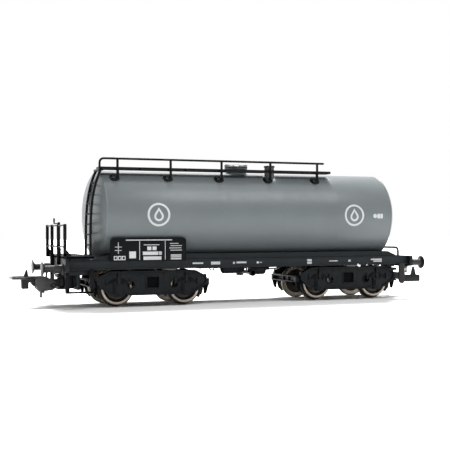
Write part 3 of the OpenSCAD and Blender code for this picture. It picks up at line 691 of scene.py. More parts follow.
def build_sills():
    s = SILL
    p = black("sill_channels", CHASSIS, RAIL)
    lip = -s.y0  # edge of the flanges
    lower = [(-lip, s.z0), (2.2 - WEB, s.z0), (2.2 - WEB, s.z0 + 0.45), (-INSIDE, s.z0 + 0.45)]
    upper = [(-INSIDE, s.z1 - 0.45), (2.2 - WEB, s.z1 - 0.45), (2.2 - WEB, s.z1), (-lip, s.z1), (-lip, s.z1 - 0.40)]
    outside = [(-WEB, s.z1 - 0.48), (-WEB, s.z0 + 0.48), (-lip, s.z0 + 0.40)]
    p.plate([lower + upper + outside], "x", s.x0, s.x1, 0.05)
    # rivet rows at the bolsters and ends
    for x in PIVOTS:
        p.rivets("y", along(x - 2.6, x + 2.6, 4), [-WEB], (s.z0 + 0.85, s.z1 - 0.85), 0.32, -0.10)
    p.rivets("y", (s.x0 + 0.9, s.x0 + 1.9, s.x1 - 1.9, s.x1 - 0.9), [-WEB], (s.z0 + 0.8, s.z0 + 1.55, s.z1 - 0.8),
             0.32, -0.10)
    y = 0.4 - WEB
    for x in (-14.2, 20.5, 55.0):  # towing hooks under the lip
        points = [(x - 0.7, y, s.z0 + 0.1), (x - 0.7, y, s.z0 - 0.75), (x + 0.75, y, s.z0 - 0.75),
                  (x + 0.75, y, s.z0 - 0.25)]
        p.tube(soften(points, 0.5), 0.42, 8, 1)
    p.mirrored()
    p.done("side_sills")

    c = Box("centre_sill")
    p = black("centre_beam", CHASSIS)
    low, top = min(c.z0, s.z0) + 0.3, s.z1 - 0.02
    for y in (-BEAM, BEAM - 0.7):
        p.box(c.x0, c.x1, y, y + 0.7, low, top, 0.06)
    p.box(c.x0, c.x1, -BEAM, BEAM, low, low + 0.35, 0.05)
    p.box(c.x0, c.x1, -BEAM, BEAM, s.z1 - 0.4, top, 0.05)
    for x in PIVOTS:
        p.box(x - 3.2, x + 3.2, -BEAM, BEAM, c.z0 if c.z0 > 12 else s.z0, low + 0.5, 0.06)
    for x in along(c.x0 + 8, c.x1 - 4, 25):
        if min(abs(x - PIVOT_A), abs(x - PIVOT_B)) > 4:
            p.rivets("z", [x], (0.35 - BEAM, BEAM - 0.35), [low], 0.3, -0.1)
    p.done("centre_sill")


def build_cross_beams():
    b = Box("bolsters")
    p = black("body_bolsters", CHASSIS)
    for x in PIVOTS:
        for z in (b.z0, b.z1 - 0.5):
            p.box(x - 3.2, x + 3.2, b.y0, -BEAM, z, z + 0.5, 0.06)
        for dx in (-2.4, 1.9):
            p.box(x + dx, x + dx + 0.5, b.y0, -BEAM, b.z0 + 0.4, b.z1 - 0.4, 0.04)
        p.lathe(peg(1.0, 0, 0.35), "z", (x, -8.6, b.z0 - 0.001), 20)  # side bearer pad over the bogie frame
        p.rivets("z", (x - 2.7, x + 2.7), (-4, -6.5, -10.2), [b.z0], 0.36, -0.08)
    p.mirrored()
    p.done("bolsters")

    m = Box("cross_members")
    p = black("cross_bearers", CHASSIS)
    for x in (PIVOT_A + 18, 11.6, PIVOT_B - 18, 58.5):
        for z in (m.z0, m.z1 - 0.35):
            p.box(x - 0.6, x + 0.6, m.y0, -BEAM, z, z + 0.35, 0.05)
        p.box(x - 0.2, x + 0.2, m.y0, -BEAM, m.z0 + 0.2, m.z1 - 0.2, 0.04)
        p.rivets("z", [x - 0.4], (-5, -8, -11), [m.z0], 0.3, -0.07)
    p.mirrored()
    p.done("cross_members")

    p = black("pivot_pin_heads", STEEL)
    r, z = 1.4, PIN.z0
    for x in PIVOTS:
        p.lathe([(0, z), (r + 0.7, z), (r + 0.8, z + 0.1), (r + 0.8, z + 0.8), (r, z + 0.8), (r, PIN.z1), (0, PIN.z1)],
                "z", (x, 0, 0), 32)
        p.box(x - 1.5, x + 1.5, -0.14, 0.14, z, z + 0.02, 0.005)
    p.done("pivot_pins")


def build_pipes():
    """Brake pipe, rods and clips between the bogies."""
    p = black("brake_rigging", RAIL, CHASSIS)
    z = SILL.z0
    p.tube(soften([(-18.5, -3.6, z + 0.7), (-16.5, -3.6, z - 0.35), (15.5, -3.6, z - 0.35), (17.5, -3.6, z + 0.7)],
                  1.2, 5), 0.55, 10)
    p.tube(soften([(9.2, -7.2, z - 0.9), (12.5, -7.2, z - 0.9), (14.0, -5.2, z - 0.5), (19.0, -5.2, z + 0.7)],
                  1.0, 5), 0.5, 10)
    p.tube([(-19, 5.4, z + 0.3), (19.5, 5.4, z + 0.3)], 0.6, 10)
    for x in (-15, -9, -3, 9, 15):
        p.box(x - 0.25, x + 0.25, 5.0, 5.8, z - 0.05, z + 1.3, 0.05, 1)
        p.box(x - 0.22, x + 0.22, -4.0, -3.2, z - 0.7, z + 0.8, 0.05, 1)
    # lever of the brake linkage
    lever = soften([(9.4, -9.6), (10.2, -9.6), (10.4, -3.4), (9.5, -3.4)], 0.3, closed=True)
    p.plate([lever], "z", z - 1.05, z - 0.75, 0.03)
    p.done()


build_cradle()
build_sills()
build_cross_beams()
build_pipes()


# ------------------------------------------------------------------ ends
BUFFER_Y, BUFFER_Z = 10.05, 13.1
HOSE_Y, HOSE_Z = 6.2, 11.7


def build_headstock(tag, s):
    h = HEADSTOCKS[s]
    face, y = (h.x0 if s < 0 else h.x1), h.y1
    z0, z1 = SILL.z0 - 0.6, h.z1
    p = black("headstock_plate_" + tag, CHASSIS, RAIL)
    outline = [(-y, z0)]
    for c in (-BUFFER_Y, BUFFER_Y):  # the lower edge bulges round each buffer
        outline += [q for q in arc(c, BUFFER_Z, 2.15, -160, -20, 14) if q[1] < z0]
    p.plate([outline + [(y, z0), (y, z1), (-y, z1)]], "x", *sorted((face, face - s * 1.2)), 0.10)
    clear = [v for v in along(0.8 - y, y - 0.8, 14) if abs(abs(v) - BUFFER_Y) > 2.0]
    p.rivets("x", [face], clear, (z0 + 0.4, z1 - 0.4), 0.34, s * 0.10)
    # draw gear plate in the middle
    front = face + s * 0.28
    p.plate([pad(-2.4, 2.4, 12.35, 15.4, 0.4)], "x", *sorted((face, front)))
    for yy in (-1.9, 1.9):
        for z in (12.8, 14.95):
            p.bolt("x", (front, yy, z), 0.4, s * 0.14)
    if tag == "a":  # the platform end is deeper, with a floor between the sills
        inside = INSIDE - 0.4
        p.box(face + 1.1, h.x1, -inside, inside, h.z0, SILL.z0, 0.12)
        p.box(face + 1.1, h.x1, -2.1, 2.1, SILL.z0 - 0.1, SILL.z0 + 0.3, 0.06)
        p.rivets("z", along(face + 2.0, face + 8.25, 5), (-10.5, -6.5, 6.5, 10.5), [h.z0], 0.34, -0.08)
    p.done("headstock_" + tag)

    b = Box("buffers_" + tag)
    p = black("buffer_pair_" + tag, BUFFER, COUPLER)
    shank, r, end = 1.2, 2.4, b.x1 - b.x0
    profile = [(0, -0.1), (1.75, -0.1), (1.75, 0.22), (1.62, 0.34), (shank + 0.12, 0.40), (shank + 0.12, 2.6),
               (shank + 0.05, 2.72), (shank - 0.05, 2.74), (shank - 0.05, end - 1.25), (shank + 0.05, end - 1.0),
               (shank + 0.45, end - 0.72), (r - 0.12, end - 0.50), (r, end - 0.40), (r, end - 0.26),
               (r - 0.10, end - 0.12), (r - 0.6, end - 0.04), (0, end)]
    for y in (-BUFFER_Y, BUFFER_Y):
        p.lathe([(radius, s * a) for radius, a in profile], "x", (face, y, BUFFER_Z), 48)
        p.bolt_ring("x", (face, y, BUFFER_Z), 1.48, 4, 45, 0.3, s * 0.36)
    p.done("buffers_" + tag)

    low = Box("air_hoses_" + tag).z0
    p = black("brake_hoses_" + tag, RUBBER, COUPLER)
    x = face + s * 2.6
    for y in (-HOSE_Y, HOSE_Y):
        p.tube(soften([(face - s * 0.1, y, HOSE_Z), (x, y, HOSE_Z), (x, y, low + 0.1)], 1.1, 6), 0.62)
        p.lathe([(0, 0), (0.375, 0), (0.375, 0.5), (0.33, 0.6), (0, 0.6)], "x",
                (face if s > 0 else face - 0.6, y, HOSE_Z), 14, 1)
        p.lathe([(0, 0), (0.30, 0), (0.375, 0.12), (0.375, 0.7), (0.30, 0.8), (0, 0.8)], "z", (x, y, low), 14, 1)
        for k in range(5):
            p.lathe([(0.30, -0.05), (0.36, 0), (0.30, 0.05)], "z", (x, y, low + 1.0 + k * 0.26), 12, loop=True)
    p.done("air_hoses_" + tag)


build_headstock("a", -1)
build_headstock("b", 1)


def build_platform():
    d = DECK
    p = black("platform_planks", CHASSIS, RAIL)
    # chequered deck: frame and close bars over a thin floor
    p.box(d.x0, d.x1, d.y0, d.y1, d.z1 - 0.95, d.z1 - 0.22, 0.06)
    p.frame(d.x0, d.x1, d.y0, d.y1, d.z1 - 0.9, d.z1, 0.4)
    for y in along(d.y0, d.y1, 46)[1:-1]:
        p.box(d.x0 + 0.2, d.x1 - 0.2, y - 0.10, y + 0.10, d.z1 - 0.3, d.z1 - 0.03, 0.03, seg=1)
    for x in along(d.x0, d.x1, 6)[1:-1]:
        p.box(x - 0.10, x + 0.10, d.y0 + 0.2, d.y1 - 0.2, d.z1 - 0.3, d.z1 - 0.01, 0.03, seg=1)
    for y in (-13.1, -4.5, 4.5, 13.1):
        p.box(HEADSTOCKS[-1].x0 + 1.8, d.x1 - 0.6, y - 0.45, y + 0.45, SILL.z1, d.z1 - 0.85, 0.05)
        p.box(d.x1 - 2.4, d.x1 - 2.0, y - 0.9, y + 0.9, SILL.z1, d.z1 - 0.85, 0.04)
    p.done("platform_deck")

    r = Box("platform_railing")
    p = black("platform_rails", RAIL)
    x0, x1, top = r.x0, d.x0, r.z1
    corners = (r.y0 + 0.3, r.y1 - 0.3)
    for y in (corners[0], -5.0, 7.0, corners[1]):
        outer = y in corners
        low = d.z1 - 0.95 if outer else SILL.z0 + 1.2
        p.plate([[(x0, low), (x1, low), (x1, top - 0.15), (x1 - 0.15, top), (x0 + 0.15, top), (x0, top - 0.15)]],
                "y", y - 0.30, y + 0.30)
        p.box(x0, x0 + 0.22, y - 0.30, y + 0.30, low, top - 0.25, 0.05)  # folded flange that makes it an angle
        p.rivets("x", [x0], [y], [low + 0.35] if outer else (low + 0.4, low + 1.2), 0.34, 0.08)
        if outer:
            p.box(x0, x1 + 0.6, y - 0.3, y + 0.3, d.z1, d.z1 + 0.9, 0.06)
            p.plate([[(x1 - 0.01, d.z1), (x1 + 1.8, d.z1), (x1 - 0.01, d.z1 + 1.9)]], "y", y - 0.28, y + 0.28, 0.05)
            p.bolt("z", (x1 + 1.1, y, d.z1 + 0.35), 0.34, 0.14)
    mid = (x0 + x1) / 2
    for z in (top - 0.4, 20.2):
        p.tube([(mid, corners[0], z), (mid, corners[1], z)], 0.5)
    for y in corners:
        p.ball((mid, y, top - 0.4), 0.58, seg=10)
    p.done("platform_railing")

    top = Box("handbrake").z1
    p = black("handbrake_column", RAIL, STEEL)
    hx, hy, z = d.x0 + 0.75, 1.0, d.z1
    rise = top - z
    p.lathe([(0, -0.1), (1.0, -0.1), (1.0, 0.25), (0.72, 0.4), (0.62, 1.5), (0.78, 1.7), (0.78, 2.1), (0.5, 2.3),
             (0.45, rise - 2.2), (0.45, rise - 1.45), (0, rise - 1.45)], "z", (hx, hy, z), 20)
    p.lathe([(0.45, -3.0), (0.62, -2.9), (0.62, -2.3), (0.45, -2.2)], "z", (hx, hy, top), 16, loop=True)
    p.bolt_ring("z", (hx, hy, z + 0.28), 0.75, 4, 45, 0.3, 0.14)
    crank, grip = top - 1.7, hx - 1.6
    p.sweep(soften([(hx + 0.3, hy, crank - 0.1), (grip, hy, crank - 0.1), (grip, hy, crank + 0.3)], 0.3),
            bar(0.28, 0.18, 0.06), side=(0, 1, 0))
    p.lathe([(0, -0.3), (0.42, -0.3), (0.42, 0.3), (0.25, 0.42), (0, 0.42)], "z", (hx, hy, crank), 16)
    p.lathe([(0, 0), (0.20, 0), (0.24, 0.3), (0.30, 0.75), (0.28, 1.58), (0.16, 1.7), (0, 1.7)], "z",
            (grip, hy, crank), 14)
    p.done("handbrake")


def build_steps():
    g = Box("platform_steps")
    p = black("platform_footsteps", RAIL, WALK)
    tread, y_out, y_in = g.z0 + 0.6, -WEB - 0.75, -WEB - 0.2
    # hangers: the outer one from the headstock, the inner one from the sill
    for x, top in ((g.x0, SILL.z0 - 0.6), (g.x1 - 1.4, SILL.z0 + 0.4)):
        p.plate([[(y_out, tread - 0.1), (y_in, tread - 0.1), (y_in, top), (y_out, top)]], "x", x, x + 1.4, 0.07)
        p.box(x, x + 0.22, -WEB - 1.5, -WEB - 0.4, tread, tread + 0.9, 0.05)
        p.rivets("y", [x + 0.7], [y_out], (top - 0.5, top - 1.4), 0.34, -0.08)
    p.box(g.x0, g.x1, g.y0, y_in, g.z0, tread - 0.18)
    for x in along(g.x0 + 0.35, g.x1 - 0.35, 13):
        p.box(x - 0.11, x + 0.11, g.y0 + 0.12, -WEB - 0.3, tread - 0.25, tread - 0.02, 0.03, 1, 1)
    p.box(g.x0, g.x1, g.y0, g.y0 + 0.25, g.z0, tread, 0.06)
    p.mirrored()
    p.done("platform_steps")

    c = Box("corner_steps")
    p = black("corner_footsteps", BROWN)
    r = 1.2
    xr, zr, top = c.x1 - r, c.z0 + r, SILL.z0 + 0.4
    outline = [(c.x0, top), (c.x0, zr + 0.2)] + arc(xr, zr, r, 180, 360, 16) + [(c.x1, top - 0.4), (c.x1 - 0.3, top)]
    p.plate([dedupe(outline)], "y", c.y0 + 0.06, c.y0 + 0.7, 0.08)
    p.bolt("y", (c.cx, c.y0 + 0.06, top - 1.6), 0.5, -0.06)
    p.lathe(rect(0.5, 0.72, 0, 0.1), "y", (xr, c.y0, zr + 0.1), 20, loop=True)
    p.mirrored()
    p.done("corner_steps")

    p = black("end_grab_rail", RAIL)
    x, top, y, z = HEADSTOCKS[1].x1 - 1.9, Box("end_handle").z1 - 0.4, 7.8, SILL.z1
    p.tube(soften([(x, -y, z - 0.7), (x, -y, top), (x, y, top), (x, y, z - 0.7)], 2.2, 9), 0.8, 16)
    for s in BOTH:
        p.box(x, HEADSTOCKS[1].x0 + 0.1, s * y - 0.3, s * y + 0.3, z - 0.8, z - 0.2, 0.06)
        p.lathe([(0, 0), (0.55, 0), (0.55, 0.2), (0.42, 0.35), (0, 0.35)], "z", (x, s * y, z - 0.25), 14)
    p.done("end_handle")


build_platform()
build_steps()


def build_boards():
    b = Box("number_boards")
    p = black("board_plates", BOARD, RAIL)
    r, back, rim = 1.2, b.y0 + 0.5, 0.28

    def outline(inset):
        """The board's outline, round at the top corners, drawn in by inset."""
        x0, x1, z0, z1 = b.x0, b.x1, b.z0 + inset, b.z1 - r
        return dedupe([(x0 + inset, z0), (x1 - inset, z0)] + arc(x1 - r, z1, r - inset, 0, 90, 8)
                      + arc(x0 + r, z1, r - inset, 90, 180, 8))

    p.plate([outline(0)], "y", b.y0 + 0.10, back)
    p.plate([outline(0), outline(rim)], "y", b.y0, b.y0 + 0.2, 0.04)
    for x in (b.x0 + 4, b.x1 - 4):
        p.box(x - 0.6, x + 0.6, back - 0.02, -WEB - 0.1, b.z0, SILL.z1, 0.05, 1)
        p.box(x - 0.6, x + 0.6, back - 0.05, back + 0.18, b.z0, b.z1 - 0.8, 0.05, 1)
    p.rivets("y", (b.x0 + 0.75, b.x1 - 0.75), [b.y0 + 0.1], (b.z0 + 0.75, b.z1 - 1.2), 0.34, -0.08)
    p.mirrored()
    p.done("number_boards")

    # plain lines, bars and fields, with nothing written in them, as x0, x1, z0, z1 and material
    w, h = b.x1 - b.x0, b.z1 - b.z0
    marks = [(9.73, 9.91, 0.4, h - 1.1, 0), (18.49, 18.67, 0.4, h - 1.1, 0),    # dividing lines
             (6.3, 8.55, 0.95, 3.2, 0), (11.1, 17.25, 0.35, 1.5, 0),            # white field and white bar
             (2.55, 2.75, 2.5, 6.2, 0), (1.5, 3.8, 3.5, 3.68, 0), (1.5, 3.8, 4.6, 4.78, 0),  # upright, two cross lines
             (5.2, 21.0, h - 0.95, h - 0.62, 1), (11.2, 16.6, 5.2, 5.45, 1), (12.4, 13.8, 3.55, 4.75, 0),
             (14.2, 15.6, 3.55, 4.75, 0), (10.9, 16.2, 1.95, 3.1, 0), (16.4, 17.4, 1.95, 3.1, 1)]
    for k, (x0, x1) in enumerate(((20.2, 23.2), (20.4, 24.4), (20.0, 24.2), (20.3, 24.4))):
        marks.append((x0, x1, 5.6 - 0.75 * k, 5.85 - 0.75 * k, 1))
    for k, mat in enumerate((0, 1, 0)):
        marks.append((20.5, 24.2, 0.4 + 0.62 * k, 0.8 + 0.62 * k, mat))
    sill_marks = ((-21.2, -17.4, -0.15, 0.35, 1), (-14.6, -11.3, -0.45, 0.55, 1), (-6.6, -5.9, -0.30, 0.35, 0),
                  (-5.3, -1.6, -0.18, 0.42, 1), (2.2, 3.0, -0.3, 0.35, 0), (3.3, 4.2, -0.1, 0.15, 1),
                  (21.6, 23.4, 0.1, 0.85, 1), (21.6, 23.4, -0.85, -0.1, 1), (30.3, 33.8, -0.1, 0.25, 1),
                  (38.1, 39.0, -0.28, 0.42, 1), (47.4, 51.9, 0.1, 0.65, 1), (48.4, 51.9, -0.55, -0.05, 1))
    q = Print("board_prints", "wagon", "chassis_black", PRINT, PRINT_DIM)
    for side in BOTH:
        where = on_side(side, b.cx, -b.y0 - 0.10, b.cz)

        def field(x0, x1, z0, z1):
            return rect(x0 - w / 2, x1 - w / 2, z0 - h / 2, z1 - h / 2)

        for *corners, mat in marks:
            q.shape([field(*corners)], where, mat, step=2.0)
        for x in (1.15, 2.5, 3.85):  # three small frames
            q.shape([field(x, x + 1.2, 0.4, 1.75), field(x + 0.28, x + 0.92, 0.68, 1.47)], where, step=2.0)
        where = on_side(side, 0, WEB, SILL.cz)
        for *corners, mat in sill_marks:
            q.shape([rect(*corners, 0.1)], where, mat, step=3.0)
        q.shape([circle(41.9, -1.32, 0.30, 16)], on_side(side, 0, WEB + 0.2, SILL.cz), step=1.0)
    q.done(angle=60)


build_boards()


# ------------------------------------------------------------------ equipment under the floor
def build_brake_gear():
    b = Box("brake_cylinder")
    p = black("brake_cylinder_body", BOGIE, RAIL)
    x, y, z = b.x0, -7.2, b.z0 + 2.3
    p.lathe([(0, 0), (1.9, 0), (2.3, 0.1), (2.3, 0.42), (2.0, 0.5), (2.0, 1.6), (2.06, 1.65), (2.06, 1.95), (2.0, 2.0),
             (2.0, 4.9), (1.85, 5.5), (1.3, 5.8), (0.62, 5.85), (0.5, 5.9), (0.5, b.x1 - x), (0, b.x1 - x)],
            "x", (x, y, z), 40)
    p.bolt_ring("x", (x + 0.02, y, z), 2.05, 8, 22, 0.36, 0.5)
    x += 3.2
    p.box(x - 1.4, x + 1.4, y - 0.9, y + 0.9, z + 1.2, z + 1.9, 0.06)
    for dx in (-1.4, 0.9):
        p.box(x + dx, x + dx + 0.5, -INSIDE, y - 0.9, z + 1.4, z + 1.9, 0.05, 1)
    p.done("brake_cylinder")

    b = Box("air_reservoir")
    p = black("air_tank", BOGIE, RAIL)
    x0, x1, z = b.x0, b.x1, b.z0 + 1.75
    dish = [(0, 0), (0.7, 0.06), (1.3, 0.35), (1.62, 0.8), (1.68, 1.1)]
    p.lathe([(r, x0 + a) for r, a in dish] + [(r, x1 - a) for r, a in reversed(dish)], "x", (0, y, z), 40)
    for x in (x0 + 1.9, x0 + 6.6):
        p.lathe([(1.6, x), (1.75, x + 0.02), (1.75, x + 0.48), (1.6, x + 0.5)], "x", (0, y, z), 40, loop=True)
        p.box(x, x + 0.5, -INSIDE, y, z + 1.15, z + 1.65, 0.05, 1)
    p.ball((x0 + 4.4, y, z - 1.6), 0.5)
    pipe = [(x1 - 0.3, y, z), (x1 + 0.8, y, z), (x1 + 1.2, y + 1.5, z + 0.9), (x1 + 1.2, y + 3.4, z + 0.9)]
    p.tube(soften(pipe, 0.5), 0.35, 8)
    p.done("air_reservoir")


def build_outlet():
    low, top = Box("outlet_valve").z0, SILL.z0
    p = black("outlet_valve_body", BOGIE, RAIL, STEEL)
    x, zc = 1.3, top - 2
    rise = top + 0.3 - low
    p.lathe([(0, 0), (1.1, 0), (1.3, 0.15), (1.3, 0.8), (1.0, 0.95), (1.0, 2.2), (1.3, 2.35), (1.3, rise), (0, rise)],
            "z", (x, 0, low), 32)
    p.bolt_ring("z", (x, 0, low + 0.02), 1.08, 6, 0, 0.3, 0.9)
    end = INSIDE
    half = [(0, end), (0.75, end), (0.75, end - 3), (0.68, end - 3.1)]
    p.lathe([(r, -a) for r, a in half] + half[::-1], "y", (x, 0, zc), 28)
    for s in BOTH:
        cap = [(0, 0), (1.05, 0), (1.2, 0.12), (1.2, 0.78), (1.05, 0.9), (0, 0.9)]
        p.lathe([(r, s * (end - a)) for r, a in cap], "y", (x, 0, zc), 28)
        p.bolt_ring("y", (x, s * end, zc), 0.98, 8, 0, 0.24, -s * 0.02)
        p.tube([(x, s * 6.5, zc), (x, s * 6.5, top + 0.2)], 0.5, 10, 1)  # hand wheel spindle
    p.done("outlet_valve")


def build_draft_box(tag, s):
    d, hook = Box("draft_box_" + tag), Box(f"coupler_{tag}_hook")
    p = black("coupler_pocket_" + tag, BOGIE, STEEL)
    half, top, foot = 3.3, 10.9, 6.2
    pin = hook.x0 + 1.5 if s > 0 else hook.x1 - 1.5
    back = pin - s * 2.0
    outline = pad(*sorted((back, d.x1 if s > 0 else d.x0)), -half, half, 0.5)
    p.plate([outline], "z", top - 0.95, top, 0.08)
    p.plate([outline], "z", d.z0, d.z0 + 0.55, 0.08)
    p.box(*sorted((back, back + s * 0.4)), 0.2 - half, half - 0.2, d.z0 + 0.1, top - 0.1, 0.05)
    if s > 0:
        p.box(d.x0, HEADSTOCKS[1].x0 + 0.05, -2.1, 2.1, top - 0.05, SILL.z0 + 0.3, 0.06)
    else:  # cross plate behind the pocket, with two slots and a folded foot
        slots = [rect(c - 1.1, c + 1.1, 7.3, 8.3, 0.4) for c in (-8.6, 8.6)]
        p.plate([rect(d.y0, d.y1, foot, top)] + slots, "x", d.x1 - 0.75, d.x1)
        p.box(d.x1 - 1.0, d.x1, d.y0 + 0.3, d.y1 - 0.3, foot, foot + 0.4, 0.06)
        p.box(back - 0.1, d.x1 - 0.4, -half, half, foot, top - 0.05, 0.06)
    p.lathe(peg(0.8, d.z0, top - 0.4), "z", (pin, 0, 0), 28)
    p.lathe(peg(1.0, d.z0, d.z0 + 0.12), "z", (pin, 0, 0), 28, 1)
    p.done("draft_box_" + tag)


build_brake_gear()
build_outlet()
build_draft_box("a", -1)
build_draft_box("b", 1)


# ------------------------------------------------------------------ bogies
FRAME = Box("bogie_a_frame")
FRAME_HALF = (FRAME.x1 - FRAME.x0) / 2         # half length of a side frame
AXLES = [Box(f"axle_{i}").cx for i in (1, 2, 3, 4)]
AXLE_Z = Box("axle_1").cz
HALF_BASE = (AXLES[1] - AXLES[0]) / 2
OUTER, INNER = 12.2, 10.9                      # faces of a side frame plate
BOX_FACE = FRAME.y1                            # face of an axle box
WHEEL_R = 5.4


def side_outline(i=0.0):
    """Outline of a side frame, drawn in by i."""
    w, r, bottom = HALF_BASE, FRAME_HALF, 3.9 + i
    half = [(w + 3.3 - i * 0.4, 12.0 - i), (r - i, 9.8 - i * 0.4), (r - i, 7.4 + i * 0.6),
            (w + 3.1 - i * 0.4, bottom + 0.5), (w - 2.5, bottom + 0.5), (w - 3.9, bottom)]
    return half + [(-x, z) for x, z in reversed(half)]


def build_side_frames(name, pivot):
    w = HALF_BASE
    p = Piece(name + "_sideframes", name, "bogie_black", BOGIE, PAINTED_SHADE, RAIL)
    outline = soften(side_outline(), 0.7, 3, closed=True)
    rim = soften(side_outline(0.42), 0.6, 3, closed=True)
    holes = [circle(x, 7.4, 1.2, 28) for x in (w - 4.3, 4.3 - w)]
    # pressed plate with its openings, a folded rim all round, and rims round the openings
    p.plate([outline, rect(-2.05, 2.05, 6.3, 9.9, 0.25, 3)] + holes, "y", 0.15 - OUTER, -INNER, 0.05)
    p.plate([outline, rim], "y", -OUTER - 0.30, 0.25 - OUTER, 0.07)
    collars = [[rect(-2.42, 2.42, 5.93, 10.27, 0.5), rect(-2.05, 2.05, 6.3, 9.9, 0.25)]]
    collars += [[circle(x, 7.4, 1.48, 28), hole] for x, hole in zip((w - 4.3, 4.3 - w), holes)]
    for collar in collars:
        p.plate(collar, "y", -OUTER - 0.10, 0.2 - OUTER, 0.05)
    p.plate([rect(-2.04, 2.04, 6.31, 9.89, 0.2, 3)], "y", 0.62 - OUTER, -INNER, 0.02, 1)  # painted shade: a dark sheet at the back of the window
    near = 0.1 - OUTER  # just inside the plate, so that what stands on it is rooted in it
    for s in BOTH:
        x, z = s * w, AXLE_Z
        # axle box: body, cover with bolts, keeper bar and guide ribs
        p.plate([pad(x - 1.35, x + 1.35, z - 2.6, z + 1.5, 0.35)], "y", -OUTER - 0.55, near, 0.07)
        p.plate([pad(x - 1.0, x + 1.0, z - 1.35, z + 1.1, 0.45)], "y", 0.02 - BOX_FACE, -OUTER - 0.5, 0.10)
        for dx in (-0.72, 0.72):
            for dz in (-1.05, 0.8):
                p.bolt("y", (x + dx, 0.10 - BOX_FACE, z + dz), 0.30, -0.07)
        p.box(x - 1.35, x + 1.35, -OUTER, -INNER, z - 2.6, z - 2.15, 0.06)
        for dx in (-1.75, 1.45):
            p.box(x + dx, x + dx + 0.3, -OUTER - 0.32, near, z - 2.4, z + 3.4, 0.05)
        p.box(x - 0.3, x + 0.3, -OUTER - 0.44, near, z + 1.4, 11.7, 0.06)
        # leaf spring over the box with its buckle and end links
        for k in range(4):
            reach, zc = 4.0 - 0.72 * k, z + 2.55 + 0.27 * k
            leaf = [(x + reach * t, -OUTER - 0.16, zc - 0.95 * (t * reach / 4.0) ** 2) for t in along(-1, 1, 12)]
            p.sweep(leaf, bar(0.26, 0.105, 0.04), side=(0, 1, 0), mat=2)
        p.box(x - 0.48, x + 0.48, -OUTER - 0.52, near, z + 2.15, z + 3.75, 0.07)
        for xl in (x - 4.0, x + 4.0):
            zl = z + 1.6
            p.lathe([(0, -OUTER - 0.5), (0.34, -OUTER - 0.5), (0.40, -OUTER - 0.42), (0.40, 0.2 - OUTER),
                     (0, 0.2 - OUTER)], "y", (xl, 0, zl), 14)
            p.plate([pad(xl - 0.28, xl + 0.28, zl - 0.2, zl + 1.7, 0.2)], "y", -OUTER - 0.36, near, 0.05)
        # bolts on the plate, as distances from the axle towards the bogie's end
        for dx, zb in ((-5.4, 10.4), (-6.7, 10.4), (-8.2, 10.9), (-8.2, 5.2), (-5.6, 5.0), (2.8, 10.9), (4.4, 9.2),
                       (5.6, 8.6), (2.6, 5.4), (-2.9, 11.2)):
            p.rivet("y", (x + s * dx, 0.15 - OUTER, zb), 0.42, -0.20)
        p.plate([pad(x - 0.85, x + 0.85, 10.5, 10.95, 0.2)], "y", -OUTER, 0.2 - OUTER, 0.03, 1)  # painted shade: a dark patch on the plate for the slot over the spring
        # end lug over the brake beam, and the inner rib that ties the plate to the transom
        lug = [(s * (FRAME_HALF - dx), zb) for dx, zb in ((0.9, 9.2), (0.05, 9.2), (0.05, 10.5), (0.7, 10.6))]
        p.plate([soften(lug, 0.2, closed=True)], "y", 0.2 - OUTER, -INNER - 0.1, 0.05)
        p.box(s * 4.0 - 0.3, s * 4.0 + 0.3, near, 0.01 - INNER, 6.6, 11.4, 0.05)
    p.mirrored()
    p.moved(pivot)
    p.done()


def build_transom(name, pivot):
    top = Box(name + "_frame").z1
    p = Piece(name + "_transom", name, "bogie_black", BOGIE, STEEL)
    z0, z1, r = 6.6, top - 0.7, 1.45
    for z in (z0, z1 - 0.9):
        p.plate([pad(-4.0, 4.0, -INNER, INNER, 0.3), circle(0, 0, r, 28)], "z", z, z + 0.9, 0.08)
    for x in (-3.9, 3.1):
        p.box(x, x + 0.8, -INNER, INNER, z0 + 0.5, z1 - 0.5, 0.06)
    p.lathe(rect(r, 2.6, z0 + 0.2, z1 - 0.2), "z", (0, 0, 0), 36, loop=True)
    p.lathe([(r, z1 - 0.1), (4.4, z1 - 0.1), (4.5, z1), (4.5, top - 0.08), (4.4, top), (3.5, top), (3.4, top - 0.1),
             (1.6, top - 0.1), (r, top - 0.2)], "z", (0, 0, 0), 56, loop=True)
    p.bolt_ring("z", (0, 0, z0), 2.05, 6, 30, 0.42, -0.14)
    for s in BOTH:
        p.lathe([(0, z1 - 0.05), (1.25, z1 - 0.05), (1.25, z1 + 0.22), (1.1, z1 + 0.32), (0, z1 + 0.32)], "z",
                (0, s * 8.6, 0), 24)
        p.rivets("z", (-3.0, 3.0), (s * 3.6, s * 5.8, s * 8.0), [z0], 0.34, -0.10)
    p.moved(pivot)
    p.done(name + "_frame")


